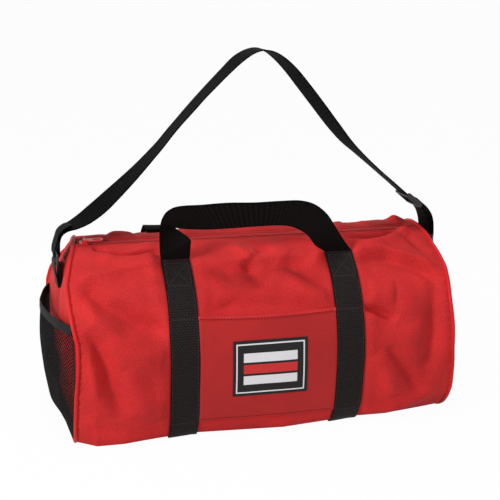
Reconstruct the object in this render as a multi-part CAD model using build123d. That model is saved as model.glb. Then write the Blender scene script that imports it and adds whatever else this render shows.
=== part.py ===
"""Small roll bag for sports kit, modelled as its sewn and moulded pieces.

Frame: +X along the bag to its right end, +Y to the rear, +Z up. The origin is the middle of the
flat underside. Every length is in millimetres and every angle in degrees. Angles round the barrel
are counted from its crown, and are positive towards the front.
"""

import os
from math import acos, cos, degrees, hypot, radians, sin, sqrt, tan

from build123d import *

os.makedirs("parts", exist_ok=True)

# ---------------------------------------------------------------- barrel of the bag
bag_length = 500.0  # from end seam to end seam
wrap_radius = 135.0  # outside of the rolled wrap
base_press = 20.0  # how far the barrel has sunk on to its flat base
base_corner_radius = 28.0
wrap_thickness = 3.0  # coated cloth with its padding
ease = 0.3  # gap between pieces that lie on each other

# ---------------------------------------------------------------- ends
panel_thickness = 3.0
panel_bulge = 12.0  # how far an end panel domes past its seam
piping_radius = 2.5
piping_inset = 1.0  # bead centre line, inside the outer face of the wrap
binding_thickness = 2.4
binding_width = 6.0

# ---------------------------------------------------------------- webbing
webbing_width = 38.0
webbing_thickness = 1.6
band_spacing = 222.0  # between the centre lines of the two bands

# ---------------------------------------------------------------- zip
zip_lean = 10.0  # the zip lies a little forward of the crown
zip_slot_width = 18.0
slot_end = 12.0  # from the end seam to the end of the zip's slot
tape_width = 17.0
tape_thickness = 0.8
chain_end = 14.0  # from the end of the slot to the first tooth
tooth_pitch = 4.0
tooth_height = 2.4
tooth_neck = 1.2
tooth_head = 1.9
tooth_reach = 1.9  # a tooth's tip beyond the centre line of the chain
chain_width = 8.4
spine_width = 1.4
slider_length = 14.0
slider_plate = 1.5
slider_wall = 1.2
slider_corner = 3.0
slider_mouth = 3.0  # how far its side walls stop short of each end
ear_length = 5.0
divider_width = 3.4
divider_length = 3.0
stop_length = 2.8
pull_length = 27.0
pull_width = 9.0
pull_thickness = 1.4
pull_slot_length = 12.0
pull_slot_width = 4.6
pull_slot_place = 0.6  # middle of the slot, as a part of the pull's length
pull_pin_radius = 0.8
pull_eye_wall = 0.9

# ---------------------------------------------------------------- front pocket
pocket_bottom = 20.0  # heights above the floor
pocket_top = 166.0
pocket_thickness = 1.6
hem_width = 5.0
hem_layers = 1.6  # the turned hem's thickness, in thicknesses of the panel
patch_width = 100.0
patch_bottom = 58.0
patch_top = 132.0
patch_thickness = 0.8

# ---------------------------------------------------------------- mesh pocket on the left end
mesh_bulge = 29.0  # beyond its own seam
mesh_gap = 1.3  # between its edge and the end panel's
mesh_thickness = 1.5
mesh_top = 163.0
mesh_hem_width = 11.0
mesh_hem_thickness = 2.6

# ---------------------------------------------------------------- carrying handles
front_fold = 33.0  # where each band leaves the barrel and becomes a handle
rear_fold = -13.0
front_handle_lean = 25.0  # the front handle tips forward from the vertical
handle_height = 85.0
handle_corner = 15.0
handle_inner_corner = 8.0
front_grip_left = -134.0
front_grip_right = 55.0
shoulder_height = 0.75  # of the corner in the right leg's outer edge, as a part of the handle's
elbow_height = 0.6  # of the corner in its inner edge, as a part of the window's

# ---------------------------------------------------------------- shoulder strap
strap_plane = -20.0  # the strap hangs in this plane of Y
tab_drop = 54.0  # foot of an anchor tab, below the top of the barrel
tab_sewn = 10.0  # height of its part that is sewn flat
ring_drop = 26.0  # lower bar of a ring, below the top of the barrel
ring_height = 12.0  # between the two long bars of a ring
ring_bar = 3.4  # each bar of a ring is this thick and this high
ring_chamfer = 0.8
ring_side_gap = 1.0  # between the webbing and the side of the ring
ring_stand_off = 1.2  # the ring is pulled this far off the end panel, to swing clear of it
strap_fold = 24.0  # the end of the strap that is turned back and sewn
rim_clearance = 5.0  # from the end seam out to the strap where it crosses the rim
rim_rise = 18.0  # of the same places over the top of the barrel
return_start = 8.0  # from the foot of the straight run to the bend of the second layer
return_bend = 9.0  # radius of that bend
return_lift = 1.6  # of the bend off the strap, in layers of webbing
bend_share = 0.45  # part of a straight piece of the strap's line that each bend takes
adjuster_length = 26.0
adjuster_bar = 4.0
adjuster_rail = 3.5
adjuster_web = 2.2  # thickness of its bars
adjuster_rail_corner = 1.8
adjuster_bar_corner = 0.9
adjuster_place = 30.0  # from the lower end of the straight run to the middle of the adjuster
# The strap's line over the apex between its two rims, as (part of the half length, rise over the top)
strap_shape = [
    (-0.864, 40.0),
    (-0.688, 70.0),
    (-0.472, 122.0),
    (-0.256, 180.0),
    (-0.088, 228.0),
    (0.08, 250.0),
    (0.232, 220.0),
    (0.404, 168.0),
    (0.56, 117.0),
]

# ---------------------------------------------------------------- worked out from the above
centre_height = wrap_radius - base_press
bag_height = centre_height + wrap_radius
half_length = bag_length / 2
zip_slot_length = bag_length - 2 * slot_end
chain_length = zip_slot_length - 2 * chain_end
band_centre = band_spacing / 2
band_outside = ease + webbing_thickness
hinge_offset = band_outside + ease + webbing_thickness / 2
tape_outside = -wrap_thickness - ease
chain_base = tape_outside + ease
chain_top = chain_base + tooth_height
zip_lift = chain_top + ease
pin_lift = zip_lift + slider_plate + pull_pin_radius + pull_eye_wall + 2 * ease
slider_start = -chain_length / 2 - divider_length - slider_wall - 2 * ease
pin_place = slider_start + slider_length / 2
panel_sphere = (wrap_radius**2 + panel_bulge**2) / (2 * panel_bulge)
mesh_sphere = (wrap_radius**2 + mesh_bulge**2) / (2 * mesh_bulge)
mesh_seam = half_length + mesh_gap
loop_radius = hypot(ring_bar / 2, ring_bar / 2 - ring_chamfer) + ease + webbing_thickness / 2
turn_radius = 0.95 * loop_radius  # a little under half the width of the turn, for a flat between its bends
tab_bottom = bag_height - tab_drop
lower_bar_height = bag_height - ring_drop
strap_run_foot = (half_length + rim_clearance, bag_height + rim_rise)
strap_over = [(-strap_run_foot[0], strap_run_foot[1])]
strap_over += [(part * half_length, bag_height + rise) for part, rise in strap_shape]


def angle_at(height):
    """Angle from the crown of the point of the barrel at a height above the floor."""
    return degrees(acos((height - centre_height) / wrap_radius))


def around(angle, offset):
    """Point (Y, Z) at an angle from the crown, this far outside the wrap."""
    reach = wrap_radius + offset
    return (-reach * sin(radians(angle)), centre_height + reach * cos(radians(angle)))


def section(offset, base=None):
    """Cross-section of the bag grown by offset, with its flat base at the given height."""
    base = -offset if base is None else base
    side = 4 * wrap_radius
    disc = Pos(0, centre_height) * Circle(wrap_radius + offset)
    flat = disc & (Pos(0, base + side / 2) * Rectangle(side, side))
    return fillet(flat.vertices(), base_corner_radius + offset)


def prism(sketch, start, end):
    """Extrude a sketch of the YZ plane along X from start to end."""
    return Pos(start, 0, 0) * extrude(Plane.YZ * sketch, end - start)


def strip(lower, upper, start, end):
    """Closed outline between two offsets and two angles round the barrel."""
    middle = (start + end) / 2
    outer = ThreePointArc(around(start, upper), around(middle, upper), around(end, upper))
    inner = ThreePointArc(around(end, lower), around(middle, lower), around(start, lower))
    ends = [Line(outer @ 1, inner @ 0), Line(inner @ 1, outer @ 0)]
    return make_face([outer, inner, *ends])


def arc_degrees(length, offset):
    """Angle that a length takes up round the barrel."""
    return degrees(length / (wrap_radius + offset))


def zip_plane(lift):
    """Plane tangent to the barrel over the zip: x along the bag, z outward."""
    y, z = around(zip_lean, lift)
    lean = radians(zip_lean)
    return Plane(origin=(0, y, z), x_dir=(1, 0, 0), z_dir=(0, -sin(lean), cos(lean)))


def zip_block(x, y, low, high):
    """Box over the zip: x and y are (from, to), low and high are offsets from the wrap."""
    size = (x[1] - x[0], y[1] - y[0], high - low)
    middle = Pos((x[0] + x[1]) / 2, (y[0] + y[1]) / 2, (high - low) / 2)
    return zip_plane(low) * middle * Box(*size)


def ribbon(path, width, thickness):
    """Flat webbing with its middle on a path of the XZ plane, centred on Y = 0."""
    frame = Plane(origin=path @ 0, x_dir=(0, 1, 0), z_dir=path % 0)
    return sweep(frame * Rectangle(width, thickness), path=path, transition=Transition.RIGHT)


def mirrored(solid, side):
    """The solid itself at the right end, or its mirror image at the left."""
    return solid if side > 0 else mirror(solid, about=Plane.YZ)


# ---------------------------------------------------------------- barrel
def make_wrap():
    """Rolled wrap with its zip slot, pressed flat where the bands run under it."""
    reach = half_length - piping_radius - ease
    wrap = prism(section(0) - section(-wrap_thickness), -reach, reach)
    slot = zip_slot_length / 2
    through = 3 * wrap_thickness
    wrap -= zip_block((-slot, slot), (-zip_slot_width / 2, zip_slot_width / 2), -through, through)
    pressed = section(0) - section(0, base=webbing_thickness + ease)
    half = webbing_width / 2 + ease
    for x in (-band_centre, band_centre):
        wrap -= prism(pressed, x - half, x + half)
    return wrap


def make_end_panel():
    """Domed right end panel, cut to the bag's section inside the piping."""
    middle = half_length + panel_bulge - panel_sphere
    shell = Sphere(panel_sphere) - Sphere(panel_sphere - panel_thickness)
    blank = prism(section(-piping_inset - piping_radius - ease), 0, 2 * half_length)
    return (Pos(middle, 0, centre_height) * shell) & blank


def make_piping():
    """Bead over the right end seam, pressed level with the underside."""
    outline = section(-piping_inset).face().outer_wire()
    path = Pos(half_length, 0, 0) * (Plane.YZ * outline)
    profile = Rot(0, 0, 22.5) * RegularPolygon(piping_radius, 8)
    bead = sweep(Plane(origin=path @ 0, x_dir=(1, 0, 0), z_dir=path % 0) * profile, path=path)
    side = 2 * bag_length
    return bead & (Pos(half_length, 0, side / 2) * Box(side, side, side))


def make_seam_binding():
    """Binding tape round the seam inside the right end."""
    outside = -wrap_thickness - ease
    ring = section(outside) - section(outside - binding_thickness)
    end = half_length - panel_thickness - ease
    return prism(ring, end - binding_width, end)


def make_band():
    """Webbing round the barrel at X = 0, from the front fold under the base to the rear fold."""
    loop = section(band_outside, base=0) - section(ease, base=webbing_thickness)
    reach = 2 * wrap_radius
    crown = (front_fold + rear_fold) / 2
    corners = [(0, centre_height)] + [around(a, reach) for a in (front_fold, crown, rear_fold)]
    loop -= make_face(Polyline(*corners, close=True))
    return prism(loop, -webbing_width / 2, webbing_width / 2)


# ---------------------------------------------------------------- zip
def make_tape(side):
    """Woven tape of the zip, side -1 in front of the chain and 1 behind it."""
    gap = divider_width / 2 + 2 * ease
    edge = arc_degrees(gap, tape_outside)
    far = arc_degrees(gap + tape_width, tape_outside)
    tape = strip(tape_outside - tape_thickness, tape_outside, zip_lean - side * edge, zip_lean - side * far)
    return prism(tape, -zip_slot_length / 2 + ease, zip_slot_length / 2 - ease)


def make_teeth(side):
    """Row of moulded teeth on its spine, which meshes with the row of the other side."""
    root = chain_width / 2 - spine_width
    count = int(chain_length / tooth_pitch)
    start = -chain_length / 2 + (0.5 if side > 0 else 0.0) * tooth_pitch
    outline = []
    for i in range(count):
        x = start + (i + 0.25) * tooth_pitch
        outline += [
            (x - tooth_neck / 2, side * root),
            (x - tooth_neck / 2, 0),
            (x - tooth_head / 2, -side * tooth_reach / 2),
            (x - tooth_neck / 2, -side * tooth_reach),
            (x + tooth_neck / 2, -side * tooth_reach),
            (x + tooth_head / 2, -side * tooth_reach / 2),
            (x + tooth_neck / 2, 0),
            (x + tooth_neck / 2, side * root),
        ]
    back = side * chain_width / 2
    end = start + count * tooth_pitch - tooth_pitch / 2
    outline += [(end, side * root), (end, back), (start, back), (start, side * root)]
    row = make_face(Polyline(*outline, close=True))
    return extrude(zip_plane(chain_base) * row, tooth_height)


def make_slider():
    """Zip slider: two plates joined by the divider, with side walls and a pair of ears."""
    ends = (slider_start, slider_start + slider_length)
    half = chain_width / 2 + ease + slider_wall
    under = tape_outside - tape_thickness - ease
    top = zip_block(ends, (-half, half), zip_lift, zip_lift + slider_plate)
    top = fillet(top.edges().filter_by(Axis(origin=(0, 0, 0), direction=zip_plane(0).z_dir)), slider_corner)
    body = top + zip_block(ends, (-half, half), under - slider_plate, under)
    post = (slider_start + slider_wall, slider_start + slider_wall + divider_length)
    body += zip_block(post, (-divider_width / 2, divider_width / 2), under, zip_lift)
    for side in (-1, 1):
        wall = sorted((side * half, side * (half - slider_wall)))
        reach = (ends[0] + slider_mouth, ends[1] - slider_mouth)
        body += zip_block(reach, wall, chain_base + ease, zip_lift)
        ear = sorted((side * half, side * (pull_width / 2 + ease)))
        ear_top = pin_lift + pull_pin_radius + pull_eye_wall
        span = (pin_place - ear_length / 2, pin_place + ear_length / 2)
        body += zip_block(span, ear, zip_lift, ear_top)
    pin = zip_plane(pin_lift) * Pos(pin_place, 0, 0) * Rot(90, 0, 0) * Cylinder(pull_pin_radius, 2 * half)
    return body + pin


def make_pull():
    """Flat pull with a long slot and an eye round the slider's pin."""
    outline = SlotOverall(pull_length, pull_width)
    plate = Pos(pull_length / 2 - pull_width / 4, 0) * outline
    plate -= Pos(pull_length * pull_slot_place, 0) * SlotOverall(pull_slot_length, pull_slot_width)
    eye = pull_pin_radius + ease + pull_eye_wall
    solid = extrude(plate, pull_thickness / 2, both=True)
    solid += Rot(90, 0, 0) * Cylinder(eye, pull_width)
    solid -= Pos(-pull_width - eye, 0, 0) * Box(2 * pull_width, 2 * pull_width, 4 * eye)
    solid -= Rot(90, 0, 0) * Cylinder(pull_pin_radius + ease, 2 * pull_width)
    return zip_plane(pin_lift) * Pos(pin_place, 0, 0) * solid


def make_top_stops():
    """Pair of clips on the tapes that stop the slider where the zip is shut."""
    x = (slider_start - ease - stop_length, slider_start - ease)
    inner, outer = divider_width / 2 + 2 * ease, chain_width / 2
    front = zip_block(x, (-outer, -inner), chain_base, chain_top)
    rear = zip_block(x, (inner, outer), chain_base, chain_top)
    return Compound([front, rear])


def make_bottom_stop():
    """Clip over both tapes at the open end of the chain."""
    start = chain_length / 2 + tooth_pitch / 2 + ease
    half = chain_width / 2
    return zip_block((start, start + stop_length), (-half, half), chain_base, chain_top)


# ---------------------------------------------------------------- pockets
def make_pocket():
    """Smooth pocket panel between the bands, below its hem."""
    half = band_centre - webbing_width / 2 - ease
    hem = arc_degrees(hem_width, 0)
    panel = strip(ease, ease + pocket_thickness, angle_at(pocket_top) + hem, angle_at(pocket_bottom))
    return prism(panel, -half, half)


def make_pocket_hem():
    """Turned hem along the mouth of the front pocket."""
    half = band_centre - webbing_width / 2 - ease
    start = angle_at(pocket_top)
    hem = strip(ease, ease + hem_layers * pocket_thickness, start, start + arc_degrees(hem_width, 0))
    return prism(hem, -half, half)


def make_patch():
    """Thin blank patch in the middle of the pocket."""
    low = 2 * ease + pocket_thickness
    patch = strip(low, low + patch_thickness, angle_at(patch_top), angle_at(patch_bottom))
    return prism(patch, -patch_width / 2, patch_width / 2)


def mesh_shell(thickness, low, high):
    """Part of the bulged mesh pocket between two heights, at the left end."""
    middle = mesh_sphere - mesh_bulge - mesh_seam
    shell = Sphere(mesh_sphere) - Sphere(mesh_sphere - thickness)
    blank = prism(section(-piping_inset - piping_radius - ease), -2 * half_length, -mesh_seam)
    level = Pos(-half_length, 0, (low + high) / 2) * Box(bag_length, bag_length, high - low)
    return (Pos(middle, 0, centre_height) * shell) & blank & level


# ---------------------------------------------------------------- handles
def leg_roll(angle):
    """Rolled ends of a handle's two legs, on its fold line."""
    y, z = around(angle, hinge_offset)
    roll = Rot(0, 90, 0) * Cylinder(webbing_thickness / 2, webbing_width)
    return [Pos(x, y, z) * roll for x in (-band_centre, band_centre)]


def make_front_handle():
    """Flat loop of webbing that stands up from the front of both bands."""
    half = webbing_width / 2
    foot = band_centre + half
    outer = [
        (-foot, 0),
        (front_grip_left, handle_height),
        (front_grip_right, handle_height),
        (front_grip_right + webbing_width, shoulder_height * handle_height),
        (foot, 0),
    ]
    low = handle_height - webbing_width
    inner = [
        (-band_centre + half, -1),
        (front_grip_left + webbing_width - half / 2, low),
        (front_grip_right - half, low),
        (front_grip_right + half / 2, elbow_height * low),
        (band_centre - half, -1),
    ]
    loop = make_face(Polyline(*outer, close=True))
    loop = fillet(loop.vertices().filter_by(lambda v: v.Y > 1), handle_corner)
    hole = make_face(Polyline(*inner, close=True))
    hole = fillet(hole.vertices().filter_by(lambda v: v.Y > 1), handle_inner_corner)
    y, z = around(front_fold, hinge_offset)
    lean = radians(front_handle_lean)
    plane = Plane(origin=(0, y, z), x_dir=(1, 0, 0), z_dir=(0, -cos(lean), -sin(lean)))
    handle = extrude(plane * (loop - hole), webbing_thickness / 2, both=True)
    for roll in leg_roll(front_fold):
        handle += roll
    return handle


def make_rear_handle():
    """Loop of webbing that has dropped behind and lies on the barrel."""
    low = hinge_offset - webbing_thickness / 2
    end = rear_fold - arc_degrees(handle_height, hinge_offset)
    grip = rear_fold - arc_degrees(handle_height - webbing_width, hinge_offset)
    half = webbing_width / 2
    layer = strip(low, low + webbing_thickness, rear_fold, end)
    blank = prism(layer, -band_centre - half, band_centre + half)
    top = around(rear_fold, 3 * hinge_offset)[1]
    floor = around(end, low)[1]
    sill = around(grip, low)[1]
    side = 2 * (band_centre + half)
    shape = Pos(0, (top + floor) / 2) * Rectangle(side, top - floor)
    shape = fillet(shape.vertices().group_by(Axis.Y)[0], handle_corner)
    window = Pos(0, (top + sill) / 2 + 1) * Rectangle(side - 2 * webbing_width, top - sill + 2)
    window = fillet(window.vertices().group_by(Axis.Y)[0], handle_inner_corner)
    outline = extrude(Plane.XZ * (shape - window), -2 * wrap_radius)
    handle = blank & outline
    for roll in leg_roll(rear_fold):
        handle += roll
    return handle


# ---------------------------------------------------------------- shoulder strap
def panel_face(height):
    """X of the outer face of the right end panel, over the strap, at a height."""
    rise = hypot(height - centre_height, strap_plane)
    return half_length + panel_bulge - panel_sphere + sqrt(panel_sphere**2 - rise**2)


bar_x = panel_face(lower_bar_height) + 2 * ease + ring_stand_off + webbing_thickness / 2 + loop_radius
upper_bar_height = lower_bar_height + ring_height


def make_anchor_tab():
    """Doubled webbing sewn on the right end panel, with the ring's lower bar in its loop."""
    inner = panel_face(tab_bottom) + 2 * ease + webbing_thickness / 2
    outer = inner + webbing_thickness + ease
    left, right = bar_x - loop_radius, bar_x + loop_radius
    top = lower_bar_height + loop_radius
    sewn, free = tab_bottom + tab_sewn, lower_bar_height - loop_radius
    route = [(inner, tab_bottom), (inner, sewn), (left, free), (left, top)]
    route += [(right, top), (right, free), (outer, sewn), (outer, tab_bottom)]
    bend = 2 * loop_radius
    radii = [bend, bend, turn_radius, turn_radius, bend, bend]
    path = FilletPolyline(*[(x, 0, z) for x, z in route], radius=radii)
    return Pos(0, strap_plane, 0) * ribbon(path, webbing_width, webbing_thickness)


def make_ring():
    """Moulded rectangular ring that joins the right anchor tab to the strap."""
    width = webbing_width + 2 * (ring_side_gap + ring_bar)
    height = ring_height + ring_bar
    frame = RectangleRounded(width, height, ring_bar) - Rectangle(width - 2 * ring_bar, height - 2 * ring_bar)
    ring = extrude(frame, ring_bar / 2, both=True)
    faces = ring.faces().filter_by(Axis.Z)
    ring = chamfer(faces.edges(), ring_chamfer)
    return Plane.YZ.offset(bar_x) * Pos(strap_plane, lower_bar_height + ring_height / 2) * ring


def strap_path():
    """Middle line of the strap from its sewn end on the left, over the apex, round the right ring."""
    inner, outer = bar_x - loop_radius, bar_x + loop_radius
    low = upper_bar_height - loop_radius
    route = [(-outer, upper_bar_height + strap_fold), (-outer, low), (-inner, low)]
    route += [*strap_over, strap_run_foot, (inner, low), (outer, low), (outer, upper_bar_height)]
    lengths = [hypot(b[0] - a[0], b[1] - a[1]) for a, b in zip(route, route[1:])]
    radii = []
    for i in range(1, len(route) - 1):
        before = Vector(*route[i]) - Vector(*route[i - 1])
        after = Vector(*route[i + 1]) - Vector(*route[i])
        bend = radians(before.get_angle(after))
        radii.append(bend_share * min(lengths[i - 1], lengths[i]) / tan(bend / 2))
    radii[:2] = radii[-2:] = [turn_radius, turn_radius]
    return FilletPolyline(*[(x, 0, z) for x, z in route], radius=radii)


def run_direction():
    """Unit vector of the straight run that the adjuster slides on, going up from the right end."""
    top = strap_over[-1]
    span = hypot(top[0] - strap_run_foot[0], top[1] - strap_run_foot[1])
    return ((top[0] - strap_run_foot[0]) / span, (top[1] - strap_run_foot[1]) / span)


def run_point(distance, lift):
    """Point (X, Z) of the straight run, lifted off its outer face."""
    dx, dz = run_direction()
    x = strap_run_foot[0] + distance * dx
    z = strap_run_foot[1] + distance * dz
    return (x + lift * dz, z - lift * dx)


def make_strap():
    """The long strap, from the turned end on the left ring to the turn round the right ring."""
    return Pos(0, strap_plane, 0) * ribbon(strap_path(), webbing_width, webbing_thickness)


def make_strap_return():
    """Second layer outside the strap, from the right ring up to the adjuster's middle bar."""
    outer = bar_x + loop_radius
    layer = webbing_thickness + 2 * ease
    foot = run_point(return_start, return_lift * layer)
    end = run_point(adjuster_place - adjuster_bar / 2 - ease, layer)
    path = FilletPolyline(
        (outer, 0, upper_bar_height),
        (outer, 0, foot[1] - return_bend),
        (foot[0], 0, foot[1]),
        (end[0], 0, end[1]),
        radius=[return_bend, return_bend],
    )
    return Pos(0, strap_plane, 0) * ribbon(path, webbing_width, webbing_thickness)


def make_adjuster():
    """Three-bar slide: the middle bar lies outside the strap and the end bars inside it."""
    dx, dz = run_direction()
    x, z = run_point(adjuster_place, 0)
    plane = Plane(origin=(x, strap_plane, z), x_dir=(dx, 0, dz), z_dir=(dz, 0, -dx))
    clear = webbing_thickness / 2 + ease
    half_width = webbing_width / 2 + 2 * ease
    depth = 2 * (clear + adjuster_web)
    body = Part()
    for side in (-1, 1):
        rail = Pos(0, side * (half_width + adjuster_rail / 2), 0)
        block = Box(adjuster_length, adjuster_rail, depth)
        body += rail * fillet(block.edges().filter_by(Axis.Y), adjuster_rail_corner)
        end = Pos(side * (adjuster_length - adjuster_bar) / 2, 0, -clear - adjuster_web / 2)
        bar = Box(adjuster_bar, 2 * half_width + adjuster_rail, adjuster_web)
        body += end * fillet(bar.edges().filter_by(Axis.Y), adjuster_bar_corner)
    middle = Box(adjuster_bar, 2 * half_width + adjuster_rail, adjuster_web)
    middle = fillet(middle.edges().filter_by(Axis.Y), adjuster_bar_corner)
    body += Pos(0, 0, clear + adjuster_web / 2) * middle
    return plane * body


def write(name, solid):
    """Write one piece to its own file."""
    solid.label = name
    export_step(solid, f"parts/{name}.step")


write("body_wrap", make_wrap())
for end, side in (("left", -1), ("right", 1)):
    write(f"end_panel_{end}", mirrored(make_end_panel(), side))
    write(f"piping_{end}", mirrored(make_piping(), side))
    write(f"seam_binding_{end}", mirrored(make_seam_binding(), side))
    write(f"band_{end}", Pos(side * band_centre, 0, 0) * make_band())
    write(f"anchor_tab_{end}", mirrored(make_anchor_tab(), side))
    write(f"ring_{end}", mirrored(make_ring(), side))
for place, side in (("front", -1), ("rear", 1)):
    write(f"zip_tape_{place}", make_tape(side))
    write(f"zip_teeth_{place}", make_teeth(side))
write("zip_top_stops", make_top_stops())
write("zip_bottom_stop", make_bottom_stop())
write("zip_slider", make_slider())
write("zip_pull", make_pull())
write("front_pocket", make_pocket())
write("front_pocket_hem", make_pocket_hem())
write("pocket_patch", make_patch())
write("mesh_pocket", mesh_shell(mesh_thickness, 0, mesh_top - mesh_hem_width))
write("mesh_pocket_hem", mesh_shell(mesh_hem_thickness, mesh_top - mesh_hem_width, mesh_top))
write("handle_front", make_front_handle())
write("handle_rear", make_rear_handle())
write("shoulder_strap", make_strap())
write("strap_return", make_strap_return())
write("strap_adjuster", make_adjuster())
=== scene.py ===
"""Small roll bag for sports kit: its cloth, webbing, net and zip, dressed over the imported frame."""

import logging
import math
from dataclasses import dataclass
from enum import Enum
from typing import Callable, Sequence

import bpy
import numpy as np
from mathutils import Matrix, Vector, noise


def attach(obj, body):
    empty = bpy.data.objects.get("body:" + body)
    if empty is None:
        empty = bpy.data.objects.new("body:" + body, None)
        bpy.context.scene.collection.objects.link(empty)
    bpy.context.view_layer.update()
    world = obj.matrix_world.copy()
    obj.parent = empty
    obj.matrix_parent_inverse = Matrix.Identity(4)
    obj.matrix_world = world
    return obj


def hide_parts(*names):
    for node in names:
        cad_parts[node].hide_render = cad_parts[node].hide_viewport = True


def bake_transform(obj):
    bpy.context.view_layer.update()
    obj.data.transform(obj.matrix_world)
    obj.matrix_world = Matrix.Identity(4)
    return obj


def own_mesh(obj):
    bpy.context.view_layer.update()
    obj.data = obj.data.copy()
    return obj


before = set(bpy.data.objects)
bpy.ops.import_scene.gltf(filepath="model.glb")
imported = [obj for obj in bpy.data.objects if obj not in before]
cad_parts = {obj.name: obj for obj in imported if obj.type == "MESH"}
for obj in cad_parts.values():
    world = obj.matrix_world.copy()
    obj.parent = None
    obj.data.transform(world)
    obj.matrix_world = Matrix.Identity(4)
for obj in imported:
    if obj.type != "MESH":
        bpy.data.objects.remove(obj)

log = logging.getLogger("roll_bag")
MM = 0.001
WAVE_SCALE = 314.0  # of a wave texture whose bands lie one millimetre apart
WEB_WIDTH = 38.0
WEB_THICKNESS = 1.6
Array = np.ndarray
Colour = tuple[float, float, float]
Operator = Callable[..., object]
Shape = Callable[[Array, Array], Array]
Socket = bpy.types.NodeSocket
Table = Sequence[tuple[float, float]]


# ---------------------------------------------------------------- making meshes
def select_only(piece: bpy.types.Object) -> None:
    """Make one object the only selected one, and the active one.

    Args:
        piece: The object.
    """
    bpy.ops.object.select_all(action="DESELECT")
    piece.select_set(True)
    bpy.context.view_layer.objects.active = piece


def primitive(name: str, add: Operator, **values: object) -> bpy.types.Object:
    """Add a primitive.

    Args:
        name: Name of the new piece.
        add: Operator that adds it.
        **values: Settings of the operator.

    Returns:
        The new object.
    """
    bpy.ops.object.select_all(action="DESELECT")
    add(**values)
    piece = bpy.context.active_object
    piece.name = piece.data.name = name
    return piece


def smooth(piece: bpy.types.Object, degrees: float = 45.0) -> None:
    """Shade a piece smooth, apart from edges sharper than the angle."""
    select_only(piece)
    bpy.ops.object.shade_smooth_by_angle(angle=math.radians(degrees))


def apply_modifier(piece: bpy.types.Object, kind: str, **values: object) -> None:
    """Add a modifier to a piece, set its values and apply it.

    Args:
        piece: The object to change.
        kind: The modifier's type.
        **values: Attributes of the modifier.
    """
    select_only(piece)
    modifier = piece.modifiers.new(kind.title(), kind)
    for name, value in values.items():
        setattr(modifier, name, value)
    bpy.ops.object.modifier_apply(modifier=modifier.name)


def edit_all(piece: bpy.types.Object, operator: Operator, **values: object) -> None:
    """Run an edit operator on the whole of a piece.

    Args:
        piece: The object to change.
        operator: The operator.
        **values: Its settings.
    """
    select_only(piece)
    bpy.ops.object.mode_set(mode="EDIT")
    bpy.ops.mesh.select_all(action="SELECT")
    operator(**values)
    bpy.ops.object.mode_set(mode="OBJECT")


def edit_some(
    piece: bpy.types.Object, kind: str, chosen: Sequence[bool], operator: Operator, **values: object
) -> None:
    """Run an edit operator on some edges or faces of a piece.

    Args:
        piece: The object to change.
        kind: EDGE or FACE.
        chosen: Whether each edge or face is worked on.
        operator: The operator.
        **values: Its settings.
    """
    select_only(piece)
    bpy.ops.object.mode_set(mode="EDIT")
    bpy.ops.mesh.select_mode(type=kind)
    bpy.ops.mesh.select_all(action="DESELECT")
    bpy.ops.object.mode_set(mode="OBJECT")
    parts = piece.data.edges if kind == "EDGE" else piece.data.polygons
    parts.foreach_set("select", list(chosen))
    bpy.ops.object.mode_set(mode="EDIT")
    operator(**values)
    bpy.ops.object.mode_set(mode="OBJECT")


def corners_of(mesh: bpy.types.Mesh) -> Array:
    """Read the vertex places of a mesh.

    Args:
        mesh: The mesh.

    Returns:
        X, Y and Z of each vertex, one row each.
    """
    flat = np.empty(len(mesh.vertices) * 3)
    mesh.vertices.foreach_get("co", flat)
    return flat.reshape(-1, 3)


def put_corners(mesh: bpy.types.Mesh, places: Array) -> None:
    """Move the vertices of a mesh to new places in millimetres."""
    mesh.vertices.foreach_set("co", (places * MM).astype(np.float32).ravel())
    mesh.update()


def put_uv(mesh: bpy.types.Mesh, uv: Array) -> None:
    """Give a mesh a UV map.

    Args:
        mesh: The mesh.
        uv: One (u, v) in metres for each vertex.
    """
    loops = np.empty(len(mesh.loops), dtype=np.int32)
    mesh.loops.foreach_get("vertex_index", loops)
    layer = mesh.uv_layers.active or mesh.uv_layers.new(name="UVMap")
    layer.data.foreach_set("uv", uv[loops].astype(np.float32).ravel())


def columns(*values: object) -> Array:
    """Put arrays and single values side by side, as the columns of one array."""
    return np.stack(np.broadcast_arrays(*values), axis=1)


def shaped_grid(
    name: str, cells: tuple[int, int], shape: Shape, size: tuple[float, float], thickness: float = 0.0
) -> bpy.types.Object:
    """Lay a grid of cloth over a surface.

    Args:
        name: Name of the piece.
        cells: Number of cells across and along.
        shape: Gives the place in millimetres of every (u, v), each from 0 to 1.
        size: Size of the cloth in millimetres, which scales its weave.
        thickness: Thickness in millimetres, to both sides, or 0 for a single skin.

    Returns:
        The finished object.
    """
    add = bpy.ops.mesh.primitive_grid_add
    piece = primitive(name, add, x_subdivisions=cells[0], y_subdivisions=cells[1], size=1.0)
    flat = corners_of(piece.data) + 0.5
    u, v = flat[:, 0].clip(0, 1), flat[:, 1].clip(0, 1)
    put_corners(piece.data, shape(u, v))
    put_uv(piece.data, columns(u * size[0], v * size[1]) * MM)
    if thickness:
        apply_modifier(piece, "SOLIDIFY", thickness=thickness * MM, offset=0.0)
    smooth(piece)
    return piece


# ---------------------------------------------------------------- lines and heights
def along_rows(rows: Array, count: int) -> Array:
    """Points of a smooth line through the given ones.

    Args:
        rows: Given points, one row each, with any number of columns.
        count: How many points to return.

    Returns:
        The points, spread evenly over the given rows.
    """
    padded = np.vstack((2 * rows[0] - rows[1], rows, 2 * rows[-1] - rows[-2]))
    place = np.linspace(0, len(rows) - 1, count)
    i = np.minimum(place.astype(int), len(rows) - 2)
    t = (place - i)[:, None]
    a, b, c, d = (padded[i + k] for k in range(4))
    return 0.5 * (2 * b + (c - a) * t + (2 * a - 5 * b + 4 * c - d) * t**2 + (3 * b - a - 3 * c + d) * t**3)


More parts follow.
